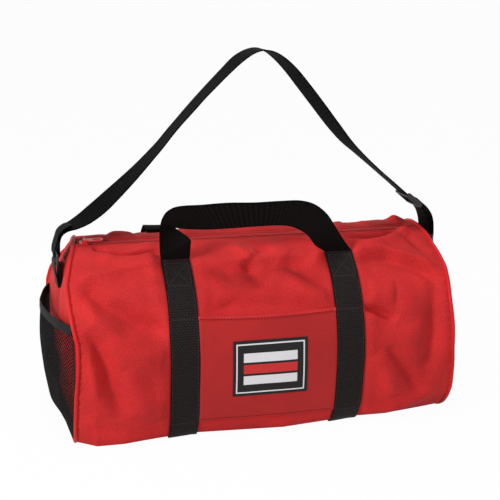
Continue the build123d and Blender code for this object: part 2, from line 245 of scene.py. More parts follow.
def run_of(line: Array) -> Array:
    """Distance of each point of a line from its first, measured along it."""
    return np.concatenate(([0.0], np.cumsum(np.linalg.norm(np.diff(line, axis=0), axis=1))))


def read_at(at: object, places: Array, rows: Array) -> Array:
    """Each column of the rows, read at one or more places between them."""
    return np.array([np.interp(at, places, column) for column in rows.T])


def from_table(value: Array, table: Table) -> Array:
    """Values from a table of (place, value) pairs, on straight lines between them."""
    return np.interp(value, *zip(*table))


def centred(share: Array, half: float) -> Array:
    """Places from -half to half for shares from 0 to 1."""
    return -half + 2 * half * share


def step(value: Array, low: float, high: float, least: float = 0.0) -> Array:
    """Smooth step from the least value at low to 1 at high."""
    t = ((value - low) / (high - low)).clip(0, 1)
    return least + (1 - least) * (t * t * (3 - 2 * t))


def hump(value: Array, width: float) -> Array:
    """Bell curve, 1 at 0 and about a third at the width."""
    return np.exp(-((value / width) ** 2))


def unevenness(x: Array, y: object, scale: float, seed: float = 0.0) -> Array:
    """Soft random heights between -1 and 1, with bumps about scale wide."""
    places = zip(*np.broadcast_arrays(x, y))
    return np.array([noise.noise(Vector((a / scale, b / scale, seed))) for a, b in places])


# ---------------------------------------------------------------- finishes
class Tree:
    """Node tree of a material or of the world, with short calls to fill it."""

    def __init__(self, owner: bpy.types.ID) -> None:
        """Start an empty tree.

        Args:
            owner: The material or the world that the tree belongs to.
        """
        owner.use_nodes = True
        self.owner = owner
        self.nodes, self.links = owner.node_tree.nodes, owner.node_tree.links
        self.nodes.clear()

    def node(self, kind: str, **values: object) -> bpy.types.Node:
        """Add a node.

        Args:
            kind: Type of the node, without ShaderNode.
            **values: Attributes, or inputs by an i and their number or by
                their name with _ for a space.

        Returns:
            The new node.
        """
        made = self.nodes.new("ShaderNode" + kind)
        for name, value in values.items():
            if hasattr(made, name):
                setattr(made, name, value)
                continue
            numbered = name[0] == "i" and name[1:].isdigit()
            socket = made.inputs[int(name[1:]) if numbered else name.replace("_", " ")]
            if isinstance(value, Socket):
                self.links.new(value, socket)
            else:
                socket.default_value = value
        return made

    def math(self, operation: str, first: object, second: object = 0.0) -> Socket:
        """Result of a math node."""
        return self.node("Math", operation=operation, i0=first, i1=second).outputs[0]

    def mixed(self, first: Socket, share: float, second: Socket, rest: float) -> Socket:
        """Sum of two values, each times its share."""
        return self.math("ADD", self.math("MULTIPLY", first, share), self.math("MULTIPLY", second, rest))

    def between(self, value: Socket, low: float, high: float) -> Socket:
        """Value from 0 to 1 brought between low and high."""
        return self.node("MapRange", Value=value, To_Min=low, To_Max=high).outputs[0]

    def ramp(self, value: Socket, stops: Sequence[tuple[float, Colour]]) -> Socket:
        """Look up the colour of a value.

        Args:
            value: The value.
            stops: Place and colour of each stop of the ramp.

        Returns:
            The colour.
        """
        made = self.node("ValToRGB", Fac=value)
        elements = made.color_ramp.elements
        while len(elements) < len(stops):
            elements.new(0.5)
        for element, (place, colour) in zip(elements, stops):
            element.position = place
            element.color = (*colour, 1.0)
        return made.outputs[0]

    def uv(self) -> Socket:
        """Coordinates of the UV map, in metres."""
        return self.node("TexCoord").outputs["UV"]

    def noise(self, vector: Socket, scale: float, detail: float = 3.0) -> Socket:
        """Value of a noise texture."""
        return self.node("TexNoise", Vector=vector, Scale=scale, Detail=detail).outputs[0]

    def scaled(self, vector: Socket, scale: tuple[float, float, float]) -> Socket:
        """Vector multiplied by a scale for each axis."""
        return self.node("Mapping", Vector=vector, Scale=scale).outputs[0]

    def bump(self, height: Socket, distance: float, strength: float, **under: Socket) -> Socket:
        """Normal of a bump, on top of another one if it is given as Normal."""
        return self.node("Bump", Height=height, Distance=distance, Strength=strength, **under).outputs[0]

    def seen(self) -> Socket:
        """Tell what the camera sees from what only lights the bag.

        Returns:
            One for rays that the camera sees straight, in a reflection or through glass.
        """
        rays = self.node("LightPath").outputs
        direct = self.math("MAXIMUM", rays["Is Camera Ray"], rays["Is Glossy Ray"])
        return self.math("MAXIMUM", direct, rays["Is Transmission Ray"])

    def end(self, shader: bpy.types.Node, output: str = "OutputMaterial") -> bpy.types.ID:
        """Join a shader to the output, and give the finished material or world."""
        self.links.new(shader.outputs[0], self.node(output).inputs[0])
        return self.owner

    def finish(self, **values: object) -> bpy.types.Material:
        """Add the surface shader with its inputs, and give the finished material."""
        return self.end(self.node("BsdfPrincipled", **values))


@dataclass(frozen=True)
class Surface:
    """What every finish has: a name and a colour."""

    name: str
    colour: Colour

    def tree(self) -> Tree:
        """Empty tree of a new material."""
        return Tree(bpy.data.materials.new(self.name))

    def tones(self, tree: Tree, value: Socket, *stops: tuple[float, float]) -> Socket:
        """Darken and lighten the colour.

        Args:
            tree: The tree to fill.
            value: The value that chooses the tone.
            *stops: Place of each stop, and the factor on the colour there.

        Returns:
            The colour.
        """
        toned = [(at, tuple(min(1.0, c * factor) for c in self.colour)) for at, factor in stops]
        return tree.ramp(value, toned)


@dataclass(frozen=True)
class WovenCloth(Surface):
    """Plain-woven coated cloth with a soft nap."""

    name: str = "woven_cloth"
    colour: Colour = (0.52, 0.019, 0.020)
    thread: float = 0.55

    def build(self) -> bpy.types.Material:
        """Make the material: two crossed waves for the threads, under the nap.

        Returns:
            The material.
        """
        tree = self.tree()
        uv = tree.uv()
        scale = WAVE_SCALE / self.thread
        warp, weft = (tree.node("TexWave", bands_direction=axis, Vector=uv, Scale=scale) for axis in "XY")
        weave = tree.math("MULTIPLY", warp.outputs["Fac"], weft.outputs["Fac"])
        nap, cloud = tree.noise(uv, 520.0, 4.0), tree.noise(uv, 14.0)
        mix = tree.mixed(nap, 0.62, cloud, 0.38)
        return tree.finish(
            Base_Color=self.tones(tree, mix, (0.38, 0.74), (0.50, 1.0), (0.63, 1.28)),
            Roughness=tree.between(nap, 0.66, 0.86),
            Normal=tree.bump(nap, 0.00022, 0.55, Normal=tree.bump(weave, 0.00010, 0.5)),
            Sheen_Weight=0.05, Sheen_Roughness=0.5, Sheen_Tint=(1.0, 0.4, 0.35, 1.0), Specular_IOR_Level=0.18,
        )


@dataclass(frozen=True)
class CoatedVinyl(Surface):
    """Smooth vinyl sheet with a fine leather grain."""

    name: str = "coated_vinyl"
    colour: Colour = (0.41, 0.020, 0.020)
    roughness: float = 0.50

    def build(self) -> bpy.types.Material:
        """Make the material: a fine grain, clouded and lightly scuffed.

        Returns:
            The material.
        """
        tree = self.tree()
        uv = tree.uv()
        grain = tree.node("TexVoronoi", Vector=uv, Scale=900.0).outputs["Distance"]
        cloud = tree.noise(uv, 9.0, 2.0)
        scuffs = tree.noise(tree.scaled(uv, (1.0, 6.0, 1.0)), 60.0, 5.0)
        return tree.finish(
            Base_Color=self.tones(tree, tree.mixed(cloud, 0.7, scuffs, 0.3), (0.3, 0.86), (0.7, 1.14)),
            Roughness=tree.between(scuffs, self.roughness - 0.06, self.roughness + 0.1),
            Normal=tree.bump(grain, 0.00006, 0.35), Specular_IOR_Level=0.13,
        )


@dataclass(frozen=True)
class RibbedWebbing(Surface):
    """Woven strap: picks lie across it in rows, between two corded edges."""

    name: str = "ribbed_webbing"
    colour: Colour = (0.0080, 0.0056, 0.0056)
    edge: float = 1.7
    sheen: float = 0.02
    specular: float = 0.10

    def build(self) -> bpy.types.Material:
        """Make the material. U runs across the strap and V along it.

        Returns:
            The material.
        """
        tree = self.tree()
        uv = tree.uv()
        picks = tree.node(
            "TexBrick", Vector=uv, offset=0.5, Scale=1.0, Mortar_Size=0.0006, Mortar_Smooth=0.8,
            Brick_Width=0.0048, Row_Height=0.0032, Color1=(1, 1, 1, 1), Color2=(0.82, 0.82, 0.82, 1),
            Mortar=(0, 0, 0, 1),
        ).outputs[0]
        fuzz = tree.noise(uv, 900.0)
        across = tree.node("SeparateXYZ", Vector=uv).outputs[0]
        to_middle = tree.math("ABSOLUTE", tree.math("SUBTRACT", across, WEB_WIDTH / 2 * MM))
        at_edge = tree.math("GREATER_THAN", to_middle, (WEB_WIDTH / 2 - self.edge) * MM)
        light = tree.math("MULTIPLY", tree.math("SUBTRACT", 1.0, at_edge), picks)
        mix = tree.mixed(light, 0.65, fuzz, 0.35)
        return tree.finish(
            Base_Color=self.tones(tree, mix, (0.15, 0.2), (0.5, 1.0), (0.9, 3.0)), Roughness=0.66,
            Normal=tree.bump(fuzz, 0.00008, 0.5, Normal=tree.bump(picks, 0.0005, 1.0)),
            Sheen_Weight=self.sheen, Sheen_Roughness=0.4, Sheen_Tint=(1.0, 0.75, 0.72, 1.0),
            Specular_IOR_Level=self.specular,
        )


@dataclass(frozen=True)
class CordedTape(Surface):
    """Fine ribbed tape or binding, its ribs across its length."""

    name: str = "corded_tape"
    colour: Colour = (0.36, 0.014, 0.016)
    pitch: float = 0.7
    sheen: float = 0.05

    def build(self) -> bpy.types.Material:
        """Make the material.

        Returns:
            The material.
        """
        tree = self.tree()
        uv = tree.uv()
        scale = WAVE_SCALE / self.pitch
        ribs = tree.node("TexWave", bands_direction="DIAGONAL", Vector=uv, Scale=scale, Distortion=0.4)
        mix = tree.mixed(ribs.outputs["Fac"], 0.5, tree.noise(uv, 1200.0), 0.5)
        return tree.finish(
            Base_Color=self.tones(tree, mix, (0.2, 0.6), (0.8, 1.35)), Roughness=0.74,
            Normal=tree.bump(mix, 0.00012, 0.7), Sheen_Weight=self.sheen, Specular_IOR_Level=0.12,
        )


@dataclass(frozen=True)
class Moulded(Surface):
    """Moulded, spun or enamelled part with a faint orange peel, and sharp edges painted lighter, partly as
    wear and partly as a painted highlight.
    """

    roughness: float = 0.3
    coat: float = 0.0
    edge_wear_and_glint: float = 1.5
    specular: float = 0.35

    def build(self) -> bpy.types.Material:
        """Make the material.

        Returns:
            The material.
        """
        tree = self.tree()
        place = tree.node("TexCoord").outputs["Object"]
        peel = tree.noise(place, 1400.0, 2.0)
        marks = tree.noise(tree.scaled(place, (1.0, 5.0, 5.0)), 160.0, 5.0)
        # Sharp edges painted lighter: partly wear, partly a painted highlight such as the grey glint on the
        # rings' edges.
        edges = tree.node("NewGeometry").outputs["Pointiness"]
        worn = tree.node("MapRange", Value=edges, From_Min=0.52, From_Max=0.6).outputs[0]
        return tree.finish(
            Base_Color=self.tones(tree, tree.math("MULTIPLY", worn, marks), (0.0, 1.0), (0.6, self.edge_wear_and_glint)),
            Roughness=tree.between(marks, self.roughness - 0.05, self.roughness + 0.16),
            Normal=tree.bump(peel, 0.00004, 0.35), Coat_Weight=self.coat, Coat_Roughness=0.15,
            Specular_IOR_Level=self.specular,
        )


@dataclass(frozen=True)
class StripedPatch(Surface):
    """Printed patch: a dark ground, a pale line round it and three plain bars."""

    name: str = "striped_patch"
    colour: Colour = (0.010, 0.009, 0.009)
    pale: Colour = (0.72, 0.71, 0.74)
    bright: Colour = (0.56, 0.028, 0.028)
    width: float = 100.0
    height: float = 74.0
    line: tuple[float, float] = (4, 5.8)
    bar_inset: float = 14
    pale_bars: Table = ((46, 58), (16, 28))
    bright_bar: tuple[float, float] = (31, 43)

    def mask(self, tree: Tree, inset: float, low: float, high: float) -> Socket:
        """Mark a rectangle of the patch.

        Args:
            tree: The tree to fill.
            inset: Distance of the rectangle from the left and the right edge.
            low: Height of its lower side.
            high: Height of its upper side.

        Returns:
            One inside the rectangle and zero outside it.
        """
        parts = tree.node("SeparateXYZ", Vector=tree.uv()).outputs
        found = 1.0
        for operation, part, limit in (
            ("GREATER_THAN", parts[0], inset), ("LESS_THAN", parts[0], self.width - inset),
            ("GREATER_THAN", parts[1], low), ("LESS_THAN", parts[1], high),
        ):
            found = tree.math("MULTIPLY", found, tree.math(operation, part, limit * MM))
        return found

    def build(self) -> bpy.types.Material:
        """Make the material. U and V run over the patch.

        Returns:
            The material.
        """
        tree = self.tree()
        outer, inner = (self.mask(tree, inset, inset, self.height - inset) for inset in self.line)
        upper, lower = (self.mask(tree, self.bar_inset, *bar) for bar in self.pale_bars)
        middle = self.mask(tree, self.bar_inset, *self.bright_bar)
        pale = tree.math("ADD", tree.math("SUBTRACT", outer, inner), tree.math("ADD", upper, lower))
        worn = tree.noise(tree.uv(), 260.0, 4.0)
        cover = tree.math("MULTIPLY", pale, tree.math("GREATER_THAN", worn, 0.14))
        colour = (*self.colour, 1)
        for share, ink in ((cover, self.pale), (middle, self.bright)):
            colour = tree.node("Mix", data_type="RGBA", i0=share, i6=colour, i7=(*ink, 1)).outputs[2]
        return tree.finish(
            Base_Color=colour, Roughness=tree.between(worn, 0.34, 0.5), Specular_IOR_Level=0.2,
            Normal=tree.bump(tree.mixed(pale, 0.5, worn, 0.3), 0.00012, 0.6),
        )


class Finish(Enum):
    """Finishes of the bag, each of which is made once."""

    CLOTH = WovenCloth()
    VINYL = CoatedVinyl()
    # The pocket's own vinyl painted lighter: a painted highlight along the rolled hem.
    HEM = CoatedVinyl("vinyl_hem_painted_highlight", (0.50, 0.024, 0.026), roughness=0.44)
    PIPING = CoatedVinyl("piping_cover", (0.56, 0.014, 0.016), roughness=0.46)
    WEBBING = RibbedWebbing()
    # The bands' own webbing painted darker: painted shade on the handles, whose grip faces away from the
    # light.
    HANDLE = RibbedWebbing("handle_webbing_painted_shade", (0.0030, 0.0021, 0.0021), sheen=0.006, specular=0.05)
    STRAP = RibbedWebbing("strap_webbing", (0.0012, 0.0009, 0.0009), sheen=0.0, specular=0.03)
    TAPE = CordedTape()
    BINDING = CordedTape("folded_binding", (0.011, 0.009, 0.009), pitch=0.9, sheen=0.0)
    NET = Moulded("knitted_net", (0.008, 0.007, 0.007), roughness=0.66, specular=0.12)
    RED_THREAD = Moulded("red_thread", (0.045, 0.002, 0.003), roughness=0.6, specular=0.1)
    BLACK_THREAD = Moulded("black_thread", (0.030, 0.024, 0.024), roughness=0.5, specular=0.2)
    CHAIN = Moulded("moulded_chain", (0.42, 0.015, 0.016), roughness=0.5, specular=0.2)
    ENAMEL = Moulded("enamelled_zinc", (0.48, 0.014, 0.016), coat=0.2)
    NYLON = Moulded("moulded_nylon", (0.010, 0.009, 0.009), roughness=0.42, edge_wear_and_glint=2.6, specular=0.3)
    # The rings' edges painted much lighter: a painted highlight, the grey glint on their edges.
    ACETAL = Moulded("moulded_acetal", (0.012, 0.011, 0.011), roughness=0.34, coat=0.1, edge_wear_and_glint=4.0)
    PATCH = StripedPatch()

    def material(self) -> bpy.types.Material:
        """The material, made when it is first asked for."""
        return bpy.data.materials.get(self.value.name) or self.value.build()


def dress(piece: bpy.types.Object, finish: Finish, body: str = "bag") -> None:
    """Give a new piece its finish and its body.

    Args:
        piece: The new piece.
        finish: Its finish.
        body: The body that it rides on, or nothing for a piece that spans two bodies and is left unattached.
    """
    piece.data.materials.clear()
    piece.data.materials.append(finish.material())
    if body:
        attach(piece, body)
    log.info("made %s: %d faces", piece.name, len(piece.data.polygons))


def dress_nodes(finish: Finish, *nodes: str) -> None:
    """Give pieces that came with the frame their finish.

    Args:
        finish: The finish.
        *nodes: Names of the pieces.
    """
    for node in nodes:
        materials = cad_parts[node].data.materials
        materials.clear()
        materials.append(finish.material())
        log.info("dressed %s", node)


# ---------------------------------------------------------------- shape of the barrel
@dataclass(frozen=True)
class Fold:
    """Fold of the cloth along a line through (x, s) places, fading towards its two ends."""

    width: float
    height: float
    places: Table
    crisp: bool = False

    def lift(self, x: Array, s: Array) -> Array:
        """How far the fold lifts the cloth.

        Args:
            x: Distances along the bag.
            s: Distances round it from its crown.

        Returns:
            The height of the fold at each place.
        """
        runs = []
        for i, (start, end) in enumerate(zip(self.places, self.places[1:])):
            run = np.subtract(end, start)
            along = (((x - start[0]) * run[0] + (s - start[1]) * run[1]) / (run @ run)).clip(0, 1)
            gap = np.hypot(x - start[0] - along * run[0], s - start[1] - along * run[1]) / self.width
            section = np.exp(0.2 - np.sqrt(gap**2 + 0.04)) if self.crisp else hump(gap, 1)
            share = (i + along) / (len(self.places) - 1)
            runs.append(section * (1 - np.abs(2 * share - 1) ** 4))
        return self.height * np.max(runs, axis=0)


LEFT_FOLDS = [
    Fold(6.5, 6.5, ((-242, 100), (-194, 93), (-158, 86), (-106, 83)), crisp=True),
    Fold(13, -12.0, ((-232, 104), (-205, 138), (-179, 156), (-150, 170), (-118, 190))),
    Fold(17, 9.0, ((-240, 132), (-222, 160), (-200, 184), (-169, 205), (-136, 214))),
    Fold(12, -12.0, ((-236, 168), (-222, 202), (-210, 234), (-186, 292))),
    Fold(10, 7.0, ((-241, 184), (-235, 219), (-226, 262))),
    Fold(19, 7.0, ((-192, 224), (-170, 262), (-140, 298))),
    Fold(4, -18.0, ((-222, 34), (-200, 55), (-168, 62), (-122, 58), (-100, 52))),
    Fold(6, 4.0, ((-218, 48), (-196, 67), (-166, 73), (-122, 68)), crisp=True),
    Fold(9, 4.5, ((-214, 64), (-184, 76), (-150, 75), (-128, 70))),
    Fold(20, 5.0, ((-196, -8), (-150, -12))),
]
MIDDLE_FOLDS = [
    Fold(7, 4.4, ((-110, 84), (-39, 85), (6, 85), (54, 79), (112, 79)), crisp=True),
    Fold(12, -4.0, ((-70, 98), (-30, 96), (20, 98), (50, 94))),
    Fold(7, 6.5, ((-34, 50), (-19, 70), (-8, 84)), crisp=True),
    Fold(12, -7.5, ((-18, 84), (-12, 100), (2, 128))),
    Fold(7, -4.0, ((-15, 84), (-13, 100))),
    Fold(8, -4.0, ((-2, 70), (22, 64))),
    Fold(17, -10.0, ((36, 80), (63, 108), (84, 130), (112, 152))),
    Fold(16, 8.0, ((14, 98), (50, 130), (92, 158))),
    Fold(13, -6.0, ((-96, 152), (-40, 150), (30, 152), (104, 160))),
    Fold(18, 4.0, ((-76, 92), (-50, 146))),
    Fold(8, 5.5, ((40, 40), (66, 50), (80, 60), (104, 82))),
    Fold(26, 8.0, ((-96, -24), (110, -24))),
]
RIGHT_FOLDS = [
    Fold(6.5, 9.5, ((104, 79), (176, 79), (205, 93), (230, 109), (256, 124)), crisp=True),
    Fold(9, -9.0, ((126, 92), (176, 93), (206, 108), (244, 134))),
    Fold(6, -13.0, ((104, 162), (128, 163), (149, 167), (174, 181))),
    Fold(16, 7.0, ((140, 142), (176, 148))),
    Fold(14, -12.0, ((246, 112), (234, 168), (221, 216), (214, 276))),
    Fold(22, 4.5, ((178, 136), (190, 190), (198, 250))),
    Fold(8, -8.0, ((164, 216), (185, 249), (210, 298))),
    Fold(11, 6.0, ((148, 224), (166, 262), (176, 296))),
    Fold(13, 6.0, ((140, 332), (192, 314), (242, 272))),
    Fold(6, -10.0, ((126, 45), (152, 52), (172, 50), (196, 40), (212, 26))),
    Fold(9, 6.0, ((128, 62), (160, 66), (190, 58), (214, 44))),
    Fold(12, 10.0, ((212, 44), (236, 22))),
    Fold(14, 9.0, ((216, -4), (242, -10))),
    Fold(8, -6.0, ((222, 40), (226, 70), (240, 92))),
    Fold(20, -6.0, ((146, -8), (182, -10))),
]
BASE_FOLDS = [
    Fold(32, 7.0, ((-196, -140), (-150, -230))),
    Fold(22, -8.0, ((-180, -60), (-214, -180))),
    Fold(24, -7.0, ((-60, -150), (20, -210))),
    Fold(22, 6.0, ((60, -130), (90, -250))),
    Fold(20, -8.0, ((180, -80), (206, -220))),
    Fold(16, 5.0, ((150, -250), (220, -290))),
    Fold(10, 6.0, ((-236, -110), (-196, -150), (-150, -170))),
    Fold(12, -6.0, ((-20, -90), (40, -120), (90, -110))),
]


@dataclass(frozen=True)
class Barrel:
    """Outer surface of the rolled bag, with its folds."""

    radius: float = 135.0
    centre: float = 115.0
    corner: float = 28.0
    half_length: float = 250.0
    band_centre: float = 111.0
    band_half: float = 19.0
    zip_place: float = 23.56
    crown: float = 60.0
    rear_foot: float = 80.0
    base_lift: float = 2.5
    under_band: float = 0.12
    at_seam: float = 0.15
    seam_reach: tuple[float, float] = (4, 30)
    pocket_side: tuple[float, float] = (84, 92)
    pocket_top: tuple[float, float] = (158, 172)
    zip_edge: tuple[float, float] = (6, 17)
    rear_edge: tuple[float, float] = (318, 352)
    front_foot: Table = (
        (-250, 98), (-225, 124), (-190, 124), (-150, 114), (-100, 103), (25, 113), (85, 102), (120, 92),
        (172, 93), (221, 77), (250, 66),
    )
    left_shift: Table = (
        (-350, 0), (-295, 0), (-240, -5), (-190, -8), (-158, -8), (-134, -3), (-114, 6), (-94, 16),
        (-70, 21), (-30, 21), (0, 17), (24, 13), (52, 8), (93, -1.5), (110, -5), (140, -4), (164, -1),
        (188, 3), (219, 3), (253, 0), (295, -1.5), (350, 0),
    )
    right_shift: Table = (
        (-350, 4), (-200, 6), (-60, 2), (4, -3), (72, -0.4), (112, 6), (152, 4.6), (228, 6.5), (292, 11),
        (336, 10.5), (380, 6),
    )
    ripples: tuple[tuple[float, float, float], ...] = ((2.6, 58.0, 0.0), (1.1, 23.0, 3.0), (0.3, 9.0, 8.0))
    folds: tuple[Fold, ...] = (*LEFT_FOLDS, *MIDDLE_FOLDS, *RIGHT_FOLDS, *BASE_FOLDS)

    @property
    def corner_y(self) -> float:
        """Half the width of the flat base."""
        return math.sqrt((self.radius - self.corner) ** 2 - (self.centre - self.corner) ** 2)

    @property
    def corner_start(self) -> float:
        """Distance from the crown to the start of the base corner."""
        return self.radius * (math.pi - math.atan2(self.corner_y, self.centre - self.corner))

    @property
    def corner_end(self) -> float:
        """Distance from the crown to the edge of the flat base."""
        return self.corner_start + self.corner * (math.pi - self.corner_start / self.radius)

    @property
    def half_round(self) -> float:
        """Half the length of the outline."""
        return self.corner_end + self.corner_y

    def at_height(self, height: float) -> float:
        """Distance from the crown of the front at a height above the floor."""
        return self.radius * math.acos((height - self.centre) / self.radius)

    def from_crown(self, s: Array) -> Array:
        """Distances measured the short way round, from minus to plus half the outline."""
        return np.where(s > self.half_round, s - 2 * self.half_round, s)

    def side(self, z: Array, x: Array, front: Array) -> Array:
        """Half the width of the bag at a height: a circle whose lower part has slumped.

        Args:
            z: Heights above the floor.
            x: Distances along the bag.
            front: Whether each place is in front.

        Returns:
            The distance of each place from the middle.
        """
        circle = np.sqrt((self.radius**2 - (z - self.centre) ** 2).clip(0, None))
        foot, low = self.foot(x, front), (1 - z / self.centre).clip(0, 1)
        slumped = foot + (self.radius - foot) * np.sqrt(1 - low**2)
        return np.where(z < self.centre, slumped, circle)

    def foot(self, x: Array, front: Array) -> Array:
        """Half the width that the base has slumped to, in front and behind."""
        return np.where(front, from_table(x, self.front_foot), self.rear_foot)

    def section(self, s: Array, x: Array) -> tuple[Array, Array]:
        """Section of the bag.

        Args:
            s: Distances from the crown, positive to the front.
            x: Distances along the bag.

        Returns:
            Y and Z of each place.
        """
        s = self.from_crown(s)
        away, front = np.abs(s), s > 0
        in_round = away < self.corner_start
        turned = self.corner_start / self.radius + (away - self.corner_start) / self.corner
        angle = np.where(in_round, away / self.radius, np.minimum(turned, math.pi))
        z = np.where(in_round, self.centre + self.radius * np.cos(angle), self.corner * (1 + np.cos(angle)))
        flat = (self.half_round - away) / self.corner_y * self.foot(x, front)
        y = np.where(away < self.corner_end, self.side(z, x, front), flat)
        y = np.where(away < self.crown, self.radius * np.sin(away / self.radius), y)
        return np.where(front, -1.0, 1.0) * y, z + self.base_lift * (1 - step(z, 0, 30))

    def outline(self, s: Array, x: object) -> tuple[Array, Array, Array, Array]:
        """Outline of the section, with its normals.

        Args:
            s: Distances from the crown, positive to the front.
            x: Distances along the bag.

        Returns:
            Y and Z of each place, and the Y and Z of its outward normal.
        """
        y, z = self.section(s, x)
        after, before = self.section(s + 0.5, x), self.section(s - 0.5, x)
        along_y, along_z = after[0] - before[0], after[1] - before[1]
        length = np.hypot(along_y, along_z) + 1e-9
        return y, z, along_z / length, -along_y / length

    def normals(self, x: Array, s: Array) -> Array:
        """Outward normal at each place, one row each."""
        return columns(0.0, *self.outline(s, x)[2:])

    def end_shift(self, left: bool, s: Array) -> Array:
        """How far the end seam lies towards +X from its nominal place."""
        return from_table(self.from_crown(s), self.left_shift if left else self.right_shift)

    def relief(self, x: Array, s: Array) -> Array:
        """Height of the folds, held down by whatever is sewn to the cloth.

        Args:
            x: Distances along the bag.
            s: Distances round it from its crown.

        Returns:
            The height at each place.
        """
        s = self.from_crown(s)
        height = sum((one.lift(x, s) for one in self.folds), np.zeros_like(x))
        height += sum(rise * unevenness(x, s, scale, seed) for rise, scale, seed in self.ripples)
        to_band = np.abs(np.abs(x) - self.band_centre)
        height *= step(to_band, self.band_half - 4, self.band_half + 15, self.under_band)
        height += 1.6 * hump(to_band - self.band_half - 11, 8)
        height -= 0.9 * (1 - step(to_band, self.band_half - 2, self.band_half + 3))
        to_end = self.half_length - np.abs(x)
        height *= step(to_end, *self.seam_reach, self.at_seam)
        puckers = np.sin(s * 0.62 + 2.5 * np.sin(s * 0.11)) * hump(to_end, 9)
        height += 0.55 * puckers - 1.2 * hump(to_end, 7)
        in_pocket = (1 - step(np.abs(x), *self.pocket_side)) * step(s, *self.pocket_top)
        height *= 1 - 0.8 * in_pocket
        height *= 1 - 0.9 * (1 - step(np.abs(s - self.zip_place), *self.zip_edge))
        return height * (1 - step(np.abs(s), *self.rear_edge))

    def place(self, x: Array, s: Array, lift: object, folded: bool = True) -> Array:
        """Places on the bag.

        Args:
            x: Distances along the bag from its middle.
            s: Distances round it from its crown, positive to the front.
            lift: How far off the cloth each place lies.
            folded: Whether the folds of the cloth count.

        Returns:
            X, Y and Z of each place, in millimetres.
        """
        y, z, normal_y, normal_z = self.outline(s, x)
        rise = lift + (self.relief(x, s) if folded else 0.0)
        moved = step(np.abs(x), 140, self.half_length)
        shift = np.where(x < 0, self.end_shift(True, s), self.end_shift(False, s))
        height = (z + rise * normal_z).clip(0.15, None)
        return columns(x + moved * shift * folded, y + rise * normal_y, height)


BARREL = Barrel()


# ---------------------------------------------------------------- sewing
@dataclass(frozen=True)
class Thread:
    """Row of sewing stitches."""

    length: float
    pitch: float
    thickness: float

    def row(self, name: str, lines: Sequence[Array], normals: Sequence[Array]) -> bpy.types.Object:
        """Sew rows of stitches along lines.

        Args:
            name: Name of the piece.
            lines: Each line's points in millimetres, close together.
            normals: The outward normal at each of those points.

        Returns:
            One object with all the stitches.
        """
        piece = primitive(name, bpy.ops.mesh.primitive_ico_sphere_add, subdivisions=1, radius=0.5)
        one = corners_of(piece.data) * (self.length, 2 * self.thickness, self.thickness)
        faces = [tuple(p.vertices) for p in piece.data.polygons]
        places, wholes = [], []
        for line, out in zip(lines, normals):
            run = run_of(line)
            for at in np.arange(self.pitch / 2, run[-1] - self.length / 2, self.pitch):
                middle, ahead, up = read_at(at, run, line), read_at(at + 1, run, line), read_at(at, run, out)
                forward = (ahead - middle) / (np.linalg.norm(ahead - middle) + 1e-9)
                side = np.cross(up, forward)
                side /= np.linalg.norm(side) + 1e-9
                base = len(places) * len(one)
                places.append(middle + one @ np.stack((forward, side, np.cross(forward, side))))
                wholes += [tuple(base + i for i in face) for face in faces]
        mesh = bpy.data.meshes.new(name)
        mesh.from_pydata((np.concatenate(places) * MM).tolist(), [], wholes)
        piece.data = mesh
        smooth(piece, 60.0)
        return piece

    def on_barrel(self, name: str, routes: Sequence[Table], lift: float) -> bpy.types.Object:
        """Sew on the bag.

        Args:
            name: Name of the piece.
            routes: (x, s) places of the corners of each row of stitches.
            lift: How far off the cloth the stitches lie.

        Returns:
            One object with all the stitches.
        """
        lines, normals = [], []
        for route in routes:
            ends = np.array(route, dtype=float)
            count = max(8, int(np.linalg.norm(np.diff(ends, axis=0), axis=1).sum() / 2))
            x, s = read_at(np.linspace(0, len(ends) - 1, count), np.arange(len(ends)), ends)
            lines.append(BARREL.place(x, s, lift))
            normals.append(BARREL.normals(x, s))
        return self.row(name, lines, normals)


